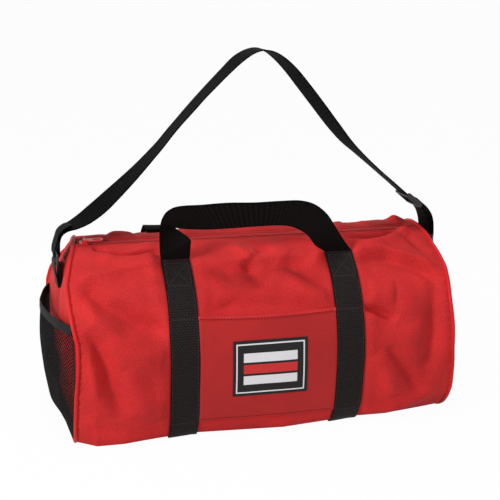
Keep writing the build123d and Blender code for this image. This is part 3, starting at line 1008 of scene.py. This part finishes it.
# ---------------------------------------------------------------- the cloth barrel
@dataclass(frozen=True)
class ClothBarrel:
    """Rolled wrap, two end panels, and the piping and binding of their seams."""

    zip_gap: float = 6.3
    shut_gap: float = 0.35
    tuck: float = 1.7
    roll: float = 1.1
    slot_half: float = 237.0
    hem: float = 9.0
    end_bulge: float = 12.0
    end_inset: float = 3.4
    bead: float = 2.6
    density: Table = ((0, 0), (0.62, 0.43), (0.72, 0.60), (1, 1))

    def wrap(self) -> None:
        """Lay the wrap round the bag, from the front edge of the zip under the base to its rear edge."""
        around = 2 * BARREL.half_round
        reach = BARREL.half_length - 1.6
        rows = (
            (0, -self.hem), (0.016, 0), (0.03, 3),
            (0.97, around - 3), (0.984, around), (1, around + self.hem),
        )

        def shape(u: Array, v: Array) -> Array:
            """Turn both edges of the slot under, with more rows in front.

            Args:
                u: Share of the way along the bag.
                v: Share of the way round it.

            Returns:
                X, Y and Z of each place, in millimetres.
            """
            x = centred(u, reach)
            gap = self.shut_gap + (self.zip_gap - self.shut_gap) * step(self.slot_half - np.abs(x), -1, 9)
            front, rear = BARREL.zip_place + gap, around + BARREL.zip_place - gap
            run = from_table(1 - v, rows)
            inside = np.maximum(-run, 0) + np.maximum(run - around, 0)
            s = front + (rear - front) * from_table(run.clip(0, around) / around, self.density)
            s += np.where(run < 0, -run, 0) - np.where(run > around, run - around, 0)
            under = -self.tuck * step(inside, 0.0, 2.2)
            to_edge = np.minimum(run.clip(0, None), (around - run).clip(0, None))
            rolled = -self.roll * (1 - step(to_edge, 0, 2.6))
            return BARREL.place(x, s, np.where(inside > 0, under - self.roll, rolled))

        piece = shaped_grid("barrel_wrap", (250, 300), shape, (2 * reach, around))
        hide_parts("body_wrap")
        dress(piece, Finish.CLOTH)

    def end_panel(self, left: bool) -> None:
        """Dome an end panel inside its seam.

        Args:
            left: Which end.
        """
        side = -1.0 if left else 1.0

        def shape(u: Array, v: Array) -> Array:
            """Dome and drape the panel.

            Args:
                u: Share of the way from the middle to the seam.
                v: Share of the way round the seam.

            Returns:
                X, Y and Z of each place, in millimetres.
            """
            s = 2 * BARREL.half_round * (v if left else 1 - v)
            y, z, normal_y, normal_z = BARREL.outline(s, side * BARREL.half_length)
            y, z = y - self.end_inset * normal_y, z - self.end_inset * normal_z
            shift = BARREL.end_shift(left, s) * u**6
            dome = self.end_bulge * (1 - u**2.4) * side
            y, z = y * u, BARREL.centre + (z - BARREL.centre) * u
            soft = 1.6 * unevenness(y, z, 46.0, 9.0 + side) + 0.7 * unevenness(y, z, 17.0, 5.0)
            drape = -3.2 * hump((y + 42) * 0.8 + (z - 214) * 0.4, 8) * step(z, 150, 200)
            drape = drape + 2.6 * hump((y + 72) * 0.85 + (z - 196) * 0.2, 11) * step(z, 120, 170)
            x = side * BARREL.half_length + shift + dome + side * (soft + drape) * step(1 - u, 0, 0.16)
            return columns(x, y, z)

        name = "end_cloth_left" if left else "end_cloth_right"
        piece = shaped_grid(name, (60, 200), shape, (131.0, 820.0))
        edit_all(piece, bpy.ops.mesh.remove_doubles, threshold=1e-5)
        put_uv(piece.data, corners_of(piece.data)[:, 1:3])
        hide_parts("end_panel_left" if left else "end_panel_right")
        dress(piece, Finish.CLOTH)

    def seam_ring(
        self, name: str, left: bool, inward: float, reach: float, radii: tuple[float, float]
    ) -> bpy.types.Object:
        """Run a round or flat bead along an end seam.

        Args:
            name: Name of the piece.
            left: Which end.
            inward: Distance of the bead's middle inside the wrap's outer face.
            reach: X of the bead's middle at its nominal place.
            radii: Half the bead's height and half its width.

        Returns:
            The bead.
        """
        thin = 0.25
        piece = primitive(
            name, bpy.ops.mesh.primitive_torus_add, major_segments=260, minor_segments=12,
            major_radius=1.0, minor_radius=thin,
        )
        flat = corners_of(piece.data)
        turn = np.arctan2(flat[:, 1], flat[:, 0])
        out = (np.hypot(flat[:, 0], flat[:, 1]) - 1.0) / thin
        s = BARREL.half_round * turn / math.pi
        side = -1.0 if left else 1.0
        y, z, normal_y, normal_z = BARREL.outline(s, side * BARREL.half_length)
        lift = -inward + out * radii[0] + 0.25 * unevenness(s, 0, 14.0, 2.0)
        x = side * reach + BARREL.end_shift(left, s) + flat[:, 2] / thin * radii[1]
        x = x + 0.5 * unevenness(s, 3, 30.0, 4.0)
        put_corners(piece.data, columns(x, y + lift * normal_y, (z + lift * normal_z).clip(0.1, None)))
        put_uv(piece.data, columns(s, out * 3 + flat[:, 2] * 12) * MM)
        edit_all(piece, bpy.ops.mesh.normals_make_consistent, inside=False)
        smooth(piece, 80.0)
        return piece

    def build(self) -> None:
        """Make the barrel."""
        self.wrap()
        for left, end in ((True, "left"), (False, "right")):
            self.end_panel(left)
            bead = self.seam_ring(f"piping_bead_{end}", left, 0.9, BARREL.half_length, (self.bead, self.bead))
            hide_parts(f"piping_{end}")
            dress(bead, Finish.PIPING)
            tape = self.seam_ring(f"seam_tape_{end}", left, 6.4, BARREL.half_length - 4.5, (1.1, 3.0))
            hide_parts(f"seam_binding_{end}")
            dress(tape, Finish.BINDING)


# ---------------------------------------------------------------- webbing
def ribbon(name: str, rows: Array, cells: tuple[int, int], crown: float) -> bpy.types.Object:
    """Make webbing through rows that each give its two edges.

    Args:
        name: Name of the piece.
        rows: For each row the place of one edge and of the other, in millimetres.
        cells: Number of cells across and along.
        crown: How far its middle stands proud of its edges.

    Returns:
        The finished ribbon.
    """
    line = along_rows(rows, cells[1] + 1)
    middle = (line[:, :3] + line[:, 3:]) / 2
    across = line[:, 3:] - line[:, :3]
    out = np.cross(across, np.gradient(middle, axis=0))
    out /= np.linalg.norm(out, axis=1)[:, None] + 1e-9

    def shape(u: Array, v: Array) -> Array:
        """Bow the webbing between its edges.

        Args:
            u: Share of the way across it.
            v: Share of the way along it.

        Returns:
            X, Y and Z of each place, in millimetres.
        """
        i = np.rint(v * cells[1]).astype(int).clip(0, cells[1])
        bow = crown * (1 - (2 * u - 1) ** 2)
        return line[i, :3] + u[:, None] * across[i] + bow[:, None] * out[i]

    return shaped_grid(name, cells, shape, (WEB_WIDTH, run_of(middle)[-1]), WEB_THICKNESS)


@dataclass(frozen=True)
class CarryWebbing:
    """Two bands round the bag and the handles that grow out of them."""

    front_fold: float = 77.75
    rear_fold: float = -30.63
    front_hinge: tuple[float, float] = (-75.160, 230.737)
    lean: float = 25.0
    rear_lift: float = 3.0
    past_fold: float = 2.2
    box: tuple[float, float] = (84.0, 118.0)
    pocket_rows: tuple[float, float] = (163.0, 312.0)
    edge_rows: tuple[float, float] = (124.0, 318.0)

    def band(self, left: bool) -> None:
        """Wind a band from the front fold under the base to the rear fold.

        Args:
            left: Which band.
        """
        middle = -BARREL.band_centre if left else BARREL.band_centre
        end = 2 * BARREL.half_round + self.rear_fold

        def shape(u: Array, v: Array) -> Array:
            """Wind the band round the bag.

            Args:
                u: Share of the way across it.
                v: Share of the way along it.

            Returns:
                X, Y and Z of each place, in millimetres.
            """
            s = end + (self.front_fold - end) * v
            x = middle + (u - 0.5) * WEB_WIDTH + 0.5 * unevenness(s, middle, 40.0, 7.0)
            return BARREL.place(x, s, 1.5 + 0.25 * (1 - (2 * u - 1) ** 2))

        name = "band_web_left" if left else "band_web_right"
        piece = shaped_grid(name, (10, 260), shape, (WEB_WIDTH, end - self.front_fold), WEB_THICKNESS)
        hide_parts("band_left" if left else "band_right")
        dress(piece, Finish.WEBBING)

    def stitching(self) -> None:
        """Sew the crossed boxes at the front folds and the rows at the pocket."""
        routes = []
        half = WEB_WIDTH / 2 - 3.5
        low, high = self.box
        for middle in (-BARREL.band_centre, BARREL.band_centre):
            left, right = middle - half, middle + half
            routes += [
                [(left, low), (right, low)], [(left, high), (right, high)], [(left, low), (left, high)],
                [(right, low), (right, high)], [(left, low), (right, high)], [(right, low), (left, high)],
            ]
            routes += [[(left, s), (right, s)] for s in self.pocket_rows]
            routes += [[(x, s) for s in self.edge_rows] for x in (left - 1.6, right + 1.6)]
        piece = Thread(length=2.6, pitch=3.6, thickness=0.5).on_barrel("band_stitching", routes, 2.6)
        dress(piece, Finish.BLACK_THREAD)

    def front_point(self, x: float, height: float, forward: float = 0.0) -> tuple[float, float, float]:
        """Find a place in the leaning plane of the front handle.

        Args:
            x: Distance along the bag.
            height: Distance up the plane from the hinge.
            forward: Distance in front of the plane.

        Returns:
            X, Y and Z of the place.
        """
        lean = math.radians(self.lean)
        y = self.front_hinge[0] - height * math.sin(lean) - forward * math.cos(lean)
        z = self.front_hinge[1] + height * math.cos(lean) - forward * math.sin(lean)
        return (x, y, z)

    def front_handle(self) -> None:
        """Make the handle that stands up in front: its legs turn at the top into one long grip."""
        edges = [
            ((-130, 0, 0), (-92, 0, 0)),
            ((-130.3, 2.5, -0.3), (-92, 12, -0.4)),
            ((-130.6, 5, -0.4), (-92, 23, -0.6)),
            ((-131, 7.5, -0.8), (-92.3, 28.5, -1.2)),
            ((-131.6, 12, -2.6), (-96, 32, -4.6)),
            ((-132.6, 24, -2.0), (-105, 37, -9.5)),
            ((-133.6, 38, -1.0), (-113, 42, -12.5)),
            ((-134, 52, 0), (-116.5, 46.5, -9)),
            ((-132.5, 65, 0), (-115, 48.5, -4)),
            ((-127, 76, 0), (-108, 48.6, -1.5)),
            ((-117, 83, 0.8), (-97, 47.5, -0.5)),
            ((-103, 85, 1.2), (-82, 46.4, 0)),
            ((-84, 84.4, 0.2), (-62, 45.6, 0)),
            ((-50, 85.2, -0.6), (-36, 46.4, 0.6)),
            ((-14, 84.6, 0.6), (-8, 46.8, 0)),
            ((22, 84.8, 0), (18, 47.2, 0.4)),
            ((48, 84, 0), (36, 45.5, 1.0)),
            ((68, 77, 0), (50, 41, 3.5)),
            ((86, 62, 0), (62, 33, 6.0)),
            ((100, 42, 0), (70, 22, 6.5)),
            ((113, 22, 0), (78, 12, 4.0)),
            ((123, 8, 0), (86, 5, 0.7)),
            ((130, 0, 0), (92, 0, 0)),
        ]
        rows = np.array([[*self.front_point(*a), *self.front_point(*b)] for a, b in edges])
        piece = ribbon("handle_web_front", rows, (10, 240), crown=0.5)
        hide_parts("handle_front")
        # Webbing painted darker as painted shade on the handle.
        dress(piece, Finish.HANDLE, "handle_front")
        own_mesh(piece)

    def rear_point(self, x: float, down: float, lift: float) -> Array:
        """Find a place on the cloth behind.

        Args:
            x: Distance along the bag.
            down: Distance down from the rear fold.
            lift: Distance off the cloth.

        Returns:
            X, Y and Z of the place.
        """
        s = np.array([self.rear_fold - down])
        lift = self.rear_lift + lift + self.past_fold * (down > 4)
        return BARREL.place(np.array([float(x)]), s, lift, folded=False)[0]

    def rear_handle(self) -> None:
        """Make the handle that has dropped behind and lies on the cloth."""
        edges = [
            ((-130, 0, 0), (-92, 0, 0)),
            ((-130.5, 8, 4.0), (-92.5, 8, 3.4)),
            ((-131, 20, 6.5), (-93, 19, 5.2)),
            ((-131, 40, 3.6), (-93, 32, 3.4)),
            ((-130, 60, 1.8), (-92, 40, 2.4)),
            ((-124, 76, 1.4), (-86, 46, 2.0)),
            ((-106, 85, 1.4), (-74, 47, 2.4)),
            ((-70, 85.5, 3.4), (-50, 47.5, 4.4)),
            ((-20, 85, 4.6), (-16, 47, 5.0)),
            ((30, 85, 3.6), (20, 47, 4.2)),
            ((74, 85.5, 1.8), (52, 47.5, 2.6)),
            ((106, 85, 1.4), (74, 47, 2.2)),
            ((124, 76, 1.4), (86, 46, 2.0)),
            ((130, 60, 1.6), (92, 40, 2.2)),
            ((131, 40, 1.8), (93, 32, 2.2)),
            ((131, 20, 2.4), (93, 19, 2.2)),
            ((130.5, 8, 1.6), (92.5, 8, 1.4)),
            ((130, 0, 0), (92, 0, 0)),
        ]
        rows = np.array([[*self.rear_point(*a), *self.rear_point(*b)] for a, b in edges])
        piece = ribbon("handle_web_rear", rows, (10, 240), crown=-0.4)
        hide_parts("handle_rear")
        # Webbing painted darker as painted shade on the handle.
        dress(piece, Finish.HANDLE, "handle_rear")

    def build(self) -> None:
        """Make the bands and the handles."""
        self.band(True)
        self.band(False)
        self.stitching()
        self.front_handle()
        self.rear_handle()


# ---------------------------------------------------------------- shoulder strap
@dataclass(frozen=True)
class ShoulderStrap:
    """Long strap between two rings, which hang in tabs sewn on the end panels."""

    plane: float = -20.0
    bar_x: float = 259.24
    lower_bar: float = 224.0
    upper_bar: float = 236.0
    turn: float = 3.05

    def row(self, x: float, z: float, twist: float, tangent: Array) -> list[float]:
        """Find both edges of the strap at a point of its line.

        Args:
            x: X of the point.
            z: Z of the point.
            twist: Degrees that the strap is turned about its line.
            tangent: X and Z of the line's direction.

        Returns:
            X, Y and Z of one edge and of the other.
        """
        tx, tz = tangent / math.hypot(*tangent)
        half, turn = WEB_WIDTH / 2, math.radians(twist)
        dx, dy, dz = -tz * math.sin(turn) * half, math.cos(turn) * half, tx * math.sin(turn) * half
        return [x - dx, self.plane - dy, z - dz, x + dx, self.plane + dy, z + dz]

    def rows(self, line: Sequence[tuple[float, float, float]]) -> Array:
        """Find both edges of the strap all along a line.

        Args:
            line: Points (x, z, twist) of its middle line.

        Returns:
            Both edges at each point, one row each.
        """
        places = np.array(line, dtype=float)
        tangents = np.gradient(places[:, :2], axis=0)
        return np.array([self.row(*place, tangent) for place, tangent in zip(places, tangents)])

    def turn_points(self, side: float, height: float, upward: bool) -> list[tuple[float, float, float]]:
        """Run half a circle round a bar.

        Args:
            side: -1 for the left ring and 1 for the right one.
            height: Height of the bar.
            upward: Whether the webbing passes over the bar, not under it.

        Returns:
            Points (x, z, twist) from the outer side of the bar to its inner side.
        """
        points = []
        for angle in np.linspace(0, math.pi, 7):
            out, up = self.turn * math.cos(angle), (1.0 if upward else -1.0) * self.turn * math.sin(angle)
            points.append((side * (self.bar_x + out), height + up, 0.0))
        return points

    def strap(self) -> None:
        """Make the strap from its sewn end on the left, over the apex, to its turn round the right ring."""
        left = [
            (-238.5, 273.0, 4.0), (-247.0, 270.4, 2.0), (-254.9, 263.6, 1.0), (-258.3, 254.0, 0.0),
            (-260.6, 246.8, 0.0), (-262.0, 241.0, 0.0), *self.turn_points(-1.0, self.upper_bar, False),
        ]
        over = [
            (-256.0, 243.0, 0), (-255.5, 253.0, 0), (-252.5, 262.0, 1), (-245.0, 268.0, 3),
            (-234.0, 272.5, 9),
            (-222.0, 278.8, 15), (-210.0, 287.0, 19), (-196.0, 298.0, 20), (-179.5, 312.8, 17),
            (-163.0, 328.0, 13), (-147.0, 343.5, 9),
            (-132.0, 359.0, 6), (-118.0, 374.0, 4), (-105.0, 389.5, 3), (-91.0, 405.0, 3), (-77.0, 420.0, 4),
            (-62.0, 436.0, 4), (-47.0, 451.0, 5), (-30.0, 467.5, 6), (-13.0, 483.0, 8), (4.0, 493.0, 5),
            (20.0, 495.5, 1), (37.0, 488.5, -6), (57.0, 471.0, -11), (77.5, 446.5, -13), (98.5, 420.0, -13),
            (119.5, 393.0, -12), (138.5, 370.5, -8), (156.5, 353.4, -3), (180.0, 332.5, 0), (204.0, 311.9, 0),
            (226.0, 292.9, 0), (240.0, 281.0, 0), (249.5, 270.5, 0), (254.3, 258.0, 0), (256.0, 245.0, 0),
        ]
        right = [*reversed(self.turn_points(1.0, self.upper_bar, False)), (262.3, 240.5, 0.0)]
        piece = ribbon("strap_web", self.rows([*left, *over, *right]), (8, 420), crown=0.2)
        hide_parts("shoulder_strap")
        dress(piece, Finish.STRAP, "strap")

    def second_layer(self) -> None:
        """Make the layer outside the strap, from the right ring up to the adjuster."""
        line = [
            (262.3, 240.0, 0), (262.2, 248.0, 0), (261.2, 258.0, 0), (258.0, 267.5, 0), (251.5, 276.5, 0),
            (243.0, 284.0, 0), (236.6, 289.6, 0),
        ]
        piece = ribbon("strap_second_layer", self.rows(line), (8, 60), crown=0.2)
        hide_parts("strap_return")
        dress(piece, Finish.STRAP, "strap")

    def tab(self, left: bool) -> None:
        """Make an anchor tab: doubled webbing, sewn at its foot, with the ring's lower bar in its loop.

        Args:
            left: Which end.
        """
        side = -1.0 if left else 1.0
        inner = [(256.9, 193.0), (256.6, 200.0), (256.5, 206.0), (256.3, 213.0), (256.2, 219.0)]
        outer = [(262.3, 219.0), (261.6, 212.0), (260.0, 205.0), (259.0, 199.0), (258.8, 193.0)]
        line = [(side * x, z, 0.0) for x, z in inner]
        line += reversed(self.turn_points(side, self.lower_bar, True))
        line += [(side * x, z, 0.0) for x, z in outer]
        name = "anchor_web_left" if left else "anchor_web_right"
        piece = ribbon(name, self.rows(line), (8, 80), crown=0.15)
        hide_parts("anchor_tab_left" if left else "anchor_tab_right")
        dress(piece, Finish.WEBBING, "")
        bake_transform(piece)

    def stitching(self) -> None:
        """Sew a crossed box at the foot of each tab."""
        half = WEB_WIDTH / 2 - 4
        low, high = 195.0, 204.0
        box = np.array([(-half, low), (half, low), (half, high), (-half, high), (-half, low), (half, high)])
        y, z = read_at(np.linspace(0, len(box) - 1, 120), np.arange(len(box)), box)
        for side, end in ((-1.0, "left"), (1.0, "right")):
            line = columns(side * (259.95 + 0.03 * (z - z.min())), y + self.plane, z)
            normals = np.tile((side, 0.0, 0.0), (len(line), 1))
            thread = Thread(length=2.4, pitch=3.1, thickness=0.4)
            piece = thread.row(f"anchor_stitching_{end}", [line], [normals])
            dress(piece, Finish.BLACK_THREAD)

    def build(self) -> None:
        """Make the strap and dress its hard parts."""
        self.strap()
        self.second_layer()
        self.tab(True)
        self.tab(False)
        self.stitching()
        dress_nodes(Finish.ACETAL, "ring_left", "ring_right")
        dress_nodes(Finish.NYLON, "strap_adjuster")


# ---------------------------------------------------------------- zip
@dataclass(frozen=True)
class TopZip:
    """Zip on the crown: woven tapes, a moulded chain, its stops, slider and pull."""

    slot_half: float = 237.6
    inner: float = 2.3
    width: float = 17.0
    sewing: float = 10.5

    def tape(self, side: float, name: str, node: str) -> None:
        """Lay a tape under one edge of the slot.

        Args:
            side: -1 for the front tape and 1 for the rear one.
            name: Name of the piece.
            node: The CAD node that it replaces.
        """

        def shape(u: Array, v: Array) -> Array:
            """Lay the tape below the slot.

            Args:
                u: Share of the way along the bag.
                v: Share of the way across the tape.

            Returns:
                X, Y and Z of each place, in millimetres.
            """
            x = centred(u, self.slot_half)
            across = np.where(side > 0, v, 1 - v)
            s = BARREL.zip_place - side * (self.inner + self.width * across)
            return BARREL.place(x, s, -3.7 - 0.35 * across + 0.12 * np.sin(x / 7.0))

        piece = shaped_grid(name, (240, 10), shape, (2 * self.slot_half, self.width), 0.7)
        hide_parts(node)
        dress(piece, Finish.TAPE)

    def build(self) -> None:
        """Make the tapes and the sewing of the slot, and dress the hard parts."""
        self.tape(-1.0, "woven_tape_front", "zip_tape_front")
        self.tape(1.0, "woven_tape_rear", "zip_tape_rear")
        x = self.slot_half - 6
        routes = [[(-x, s), (x, s)] for s in (BARREL.zip_place + self.sewing, BARREL.zip_place - self.sewing)]
        piece = Thread(length=2.7, pitch=3.7, thickness=0.4).on_barrel("slot_stitching", routes, 0.12)
        dress(piece, Finish.RED_THREAD)
        dress_nodes(Finish.CHAIN, "zip_teeth_front", "zip_teeth_rear")
        dress_nodes(Finish.ENAMEL, "zip_top_stops", "zip_bottom_stop", "zip_slider", "zip_pull")


# ---------------------------------------------------------------- front pocket
@dataclass(frozen=True)
class FrontPocket:
    """Smooth vinyl pocket between the bands, with a turned mouth and a printed patch."""

    half: float = 92.2
    top: float = BARREL.at_height(166.0)
    bottom: float = BARREL.at_height(24.0)
    hem: float = 5.0
    sag: float = 3.6
    patch_half: float = 50.0
    patch_low: float = BARREL.at_height(58.0)
    patch_high: float = BARREL.at_height(132.0)

    def bow(self, x: Array) -> Array:
        """Arch along the bag, 1 in the middle of the pocket and 0 at its ends."""
        return np.cos(np.pi * x / (2 * self.half)).clip(0, 1)

    def place(self, x: Array, s: Array, lift: object) -> Array:
        """Places off the pocket, which stands off the cloth and gapes a little at its mouth.

        Args:
            x: Distances along the bag.
            s: Distances round it from its crown.
            lift: How far off the pocket each place lies.

        Returns:
            X, Y and Z of each place, in millimetres.
        """
        across = self.bow(x)
        mouth = 3.0 * across**1.3 * (1 - step(s, self.top, self.top + 46))
        belly = 2.0 * across * np.sin(np.pi * ((s - self.top) / (self.bottom - self.top)).clip(0, 1))
        soft = 0.9 * unevenness(x, s, 48.0, 12.0) * across
        rays = 0.9 * hump((x + 60) * 0.55 + (s - 206) * 0.8, 11) * across
        rays -= 1.0 * hump((x - 58) * 0.6 - (s - 222) * 0.78, 13) * across
        return BARREL.place(x, s, lift + (mouth + belly + soft + rays))

    def mouth_line(self, x: Array) -> Array:
        """Edge of the mouth, which hangs between its ends."""
        return self.top + self.sag * self.bow(x)

    def panel(self) -> None:
        """Lay the vinyl panel below the hem."""
        start = self.top + self.hem - 1.0

        def shape(u: Array, v: Array) -> Array:
            """Lay the panel from its bottom to its hem.

            Args:
                u: Share of the way along the bag.
                v: Share of the way up it.

            Returns:
                X, Y and Z of each place, in millimetres.
            """
            x = centred(u, self.half)
            first = start + self.sag * self.bow(x)
            return self.place(x, self.bottom + (first - self.bottom) * v, 1.0)

        piece = shaped_grid("pocket_panel", (130, 120), shape, (2 * self.half, self.bottom - start), 1.1)
        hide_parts("front_pocket")
        dress(piece, Finish.VINYL)

    def mouth(self) -> None:
        """Roll the hem round the mouth."""
        turns = (0, 0.12, 0.5, 0.62, 0.78, 1.0)
        reach = tuple(zip(turns, (self.hem + 0.4, self.hem, 0.8, 0.0, 0.7, self.hem)))
        rise = tuple(zip(turns, (1.3, 2.6, 3.1, 1.9, 0.5, 0.4)))

        def shape(u: Array, v: Array) -> Array:
            """Place of the hem: u along the bag, v round its roll from the outside over the edge."""
            x = centred(u, self.half)
            return self.place(x, self.mouth_line(x) + from_table(v, reach), from_table(v, rise))

        piece = shaped_grid("pocket_mouth", (130, 22), shape, (2 * self.half, 12.0))
        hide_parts("front_pocket_hem")
        # Vinyl painted lighter as a painted highlight along the hem.
        dress(piece, Finish.HEM)

    def patch(self) -> None:
        """Lay the printed patch on the panel."""

        def shape(u: Array, v: Array) -> Array:
            """Place of the patch: u along the bag, v up it."""
            x = 1.0 - self.patch_half + 2 * self.patch_half * u
            return self.place(x, self.patch_low + (self.patch_high - self.patch_low) * v, 1.95)

        piece = shaped_grid("printed_patch", (70, 60), shape, (100.0, 74.0), 0.5)
        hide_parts("pocket_patch")
        dress(piece, Finish.PATCH)

    def stitching(self) -> None:
        """Sew one row below the mouth and one along the bottom."""
        x = np.linspace(-self.half + 1, self.half - 1, 160)
        rows = ((self.top + 4.4 + self.sag * self.bow(x), 2.95), (x * 0 + self.bottom - 4.5, 1.7))
        lines = [self.place(x, s, lift) for s, lift in rows]
        normals = [BARREL.normals(x, s) for s, _lift in rows]
        piece = Thread(length=2.6, pitch=4.4, thickness=0.7).row("pocket_stitching", lines, normals)
        dress(piece, Finish.RED_THREAD)

    def build(self) -> None:
        """Make the pocket."""
        self.panel()
        self.mouth()
        self.patch()
        self.stitching()


# ---------------------------------------------------------------- net pocket
@dataclass(frozen=True)
class NetPocket:
    """Knitted net over the lower part of the left end, with a bound mouth."""

    bulge: float = 29.0
    seam: float = 251.6
    top: float = 163.0
    hem: float = 11.0
    cell: tuple[float, float] = (7.0, 5.0)
    yarn: float = 1.5
    margin: float = 1.5
    floor: float = 3.5
    mouth_reach: float = 132.5

    def half_width(self, y: Array, z: Array) -> Array:
        """Distance of the end seam from the middle, on the side of each place."""
        return BARREL.side(z, -BARREL.half_length, y < 0)

    def surface(self, y: Array, z: Array) -> Array:
        """Find the net's outer face.

        Args:
            y: Y of each place.
            z: Z of each place.

        Returns:
            X of each place.
        """
        ball = (BARREL.radius**2 + self.bulge**2) / (2 * self.bulge)
        deep = z - BARREL.centre
        across = (y / self.half_width(y, z)).clip(-1, 1)
        away = np.sqrt(across**2 * (BARREL.radius**2 - deep**2) + deep**2)
        dome = (np.sqrt(ball**2 - away**2) - ball + self.bulge).clip(0, None) * step(z, -12, 40)
        soft = 1.6 * unevenness(y, z, 40.0, 21.0)
        return -(self.seam + dome + soft * step(dome, 1, 12))

    def net(self) -> None:
        """Knit the net: a lattice of diamonds trimmed to the pocket, laid on the dome, with round yarns."""
        count, rows = int(268 / self.cell[0]), int(self.top / self.cell[1])
        add = bpy.ops.mesh.primitive_grid_add
        piece = primitive("knitted_net", add, x_subdivisions=count, y_subdivisions=rows, size=1.0)
        posts = len(piece.data.vertices)
        edit_some(piece, "FACE", [True] * len(piece.data.polygons), bpy.ops.mesh.poke)
        straight = [max(edge.vertices) < posts for edge in piece.data.edges]
        edit_some(piece, "EDGE", straight, bpy.ops.mesh.dissolve_edges, use_verts=False)
        flat = corners_of(piece.data)
        y = flat[:, 0] * count * self.cell[0]
        z = (flat[:, 1] + 0.5) * (self.top - self.hem + 3)
        kept = (np.abs(y) < self.half_width(y, z) - self.margin) & (z > self.margin)
        z = z.clip(self.floor, None)
        limit = self.half_width(y, z) - self.margin
        y = y.clip(-limit, limit)
        put_corners(piece.data, columns(self.surface(y, z) + 0.8, y, z))
        outside = [not any(kept[i] for i in face.vertices) for face in piece.data.polygons]
        edit_some(piece, "FACE", outside, bpy.ops.mesh.delete, type="FACE")
        apply_modifier(
            piece, "WIREFRAME", thickness=self.yarn * MM, use_boundary=True, use_replace=True,
            use_even_offset=False,
        )
        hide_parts("mesh_pocket")
        dress(piece, Finish.NET)

    def mouth(self) -> None:
        """Fold a binding over the net's upper edge and sew it."""
        middle = self.top - self.hem / 2
        reach = math.sqrt(self.mouth_reach**2 - (middle - BARREL.centre) ** 2)
        y = np.linspace(-reach, reach, 121)
        edge = self.surface(y, np.full_like(y, middle))
        count = len(y) - 1
        turns = (0, 0.1, 0.5, 0.9, 1)
        fall = tuple(zip(turns, (-0.5, -0.46, 0, 0.46, 0.5)))
        rise = tuple(zip(turns, (-0.6, 0.35, 0.6, 0.45, -0.6)))

        def shape(u: Array, v: Array) -> Array:
            """Place of the binding: u along it, v over its fold."""
            i = np.rint(u * count).astype(int).clip(0, count)
            return columns(edge[i] - from_table(v, rise) - 0.3, y[i], middle + from_table(v, fall) * self.hem)

        piece = shaped_grid("net_mouth", (count, 14), shape, (280.0, self.hem + 2), 1.3)
        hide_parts("mesh_pocket_hem")
        dress(piece, Finish.BINDING)
        sewn = y[4:-4]
        z = np.full_like(sewn, self.top - self.hem + 1.6)
        lines = [columns(self.surface(sewn, z) - 1.62, sewn, z)]
        normals = [np.tile((-1.0, 0.0, 0.0), (len(sewn), 1))]
        row = Thread(length=2.4, pitch=3.2, thickness=0.4).row("net_stitching", lines, normals)
        dress(row, Finish.BLACK_THREAD)

    def build(self) -> None:
        """Make the net and the bound mouth."""
        self.net()
        self.mouth()


# ---------------------------------------------------------------- studio
@dataclass(frozen=True)
class Studio:
    """Pale floor, plain soft lamps and the camera."""

    camera_place: tuple[float, float, float] = (-0.421, -1.670, 0.593)
    yaw: float = -14.43
    pitch: float = 77.82
    lens: float = 92.16
    target: tuple[float, float, float] = (0.0, 0.0, 0.15)

    def camera(self) -> None:
        """Set up the camera."""
        turn = (math.radians(self.pitch), 0.0, math.radians(self.yaw))
        bpy.ops.object.camera_add(location=self.camera_place, rotation=turn)
        camera = bpy.context.active_object
        camera.data.lens = self.lens
        camera.data.sensor_width = 36.0
        bpy.context.scene.camera = camera

    def floor(self) -> None:
        """Lay a floor that looks white and still takes shadows."""
        add = bpy.ops.mesh.primitive_plane_add
        floor = primitive("studio_floor", add, size=60.0, location=(0.0, 0.0, 0.0))
        tree = Tree(bpy.data.materials.new("studio_paper"))
        diffuse = tree.node("BsdfDiffuse", Color=(0.86, 0.86, 0.86, 1.0)).outputs[0]
        glow = tree.node("Emission", Color=(1.0, 1.0, 1.0, 1.0), Strength=1.0).outputs[0]
        share = tree.math("MULTIPLY", tree.seen(), 0.97)
        floor.data.materials.append(tree.end(tree.node("MixShader", Fac=share, i1=diffuse, i2=glow)))

    def lamp(self, name: str, place: tuple[float, float, float], size: float, power: float) -> None:
        """Hang a soft lamp that looks at the bag.

        Args:
            name: Name of the lamp.
            place: Where it hangs.
            size: Its width.
            power: Its power in watts.
        """
        bpy.ops.object.light_add(type="AREA", location=place)
        lamp = bpy.context.active_object
        lamp.name = name
        lamp.data.size = size
        lamp.data.energy = power
        lamp.rotation_euler = (Vector(self.target) - Vector(place)).to_track_quat("-Z", "Y").to_euler()

    def world(self) -> None:
        """Light the room evenly and show white behind the bag."""
        world = bpy.data.worlds.new("studio_world")
        bpy.context.scene.world = world
        tree = Tree(world)
        soft, white = (
            tree.node("Background", Color=(1.0, 1.0, 1.0, 1.0), Strength=strength).outputs[0]
            for strength in (0.24, 1.0)
        )
        tree.end(tree.node("MixShader", Fac=tree.seen(), i1=soft, i2=white), "OutputWorld")

    def build(self) -> None:
        """Set up the whole studio."""
        self.camera()
        self.floor()
        self.world()
        self.lamp("key_lamp", (-2.3, -1.5, 1.35), 0.6, 60.0)
        self.lamp("fill_lamp", (1.9, -1.9, 0.8), 1.6, 8.0)
        self.lamp("top_lamp", (-0.2, -0.3, 2.4), 0.8, 22.0)
        bpy.context.scene.view_settings.view_transform = "Standard"


def main() -> None:
    """Build the studio and every sub-assembly of the bag."""
    logging.basicConfig(level=logging.INFO, format="%(name)s: %(message)s")
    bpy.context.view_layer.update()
    Studio().build()
    for assembly in (ClothBarrel(), CarryWebbing(), ShoulderStrap(), TopZip(), FrontPocket(), NetPocket()):
        assembly.build()
        log.info("finished %s", type(assembly).__name__)


if __name__ == "__main__":
    main()
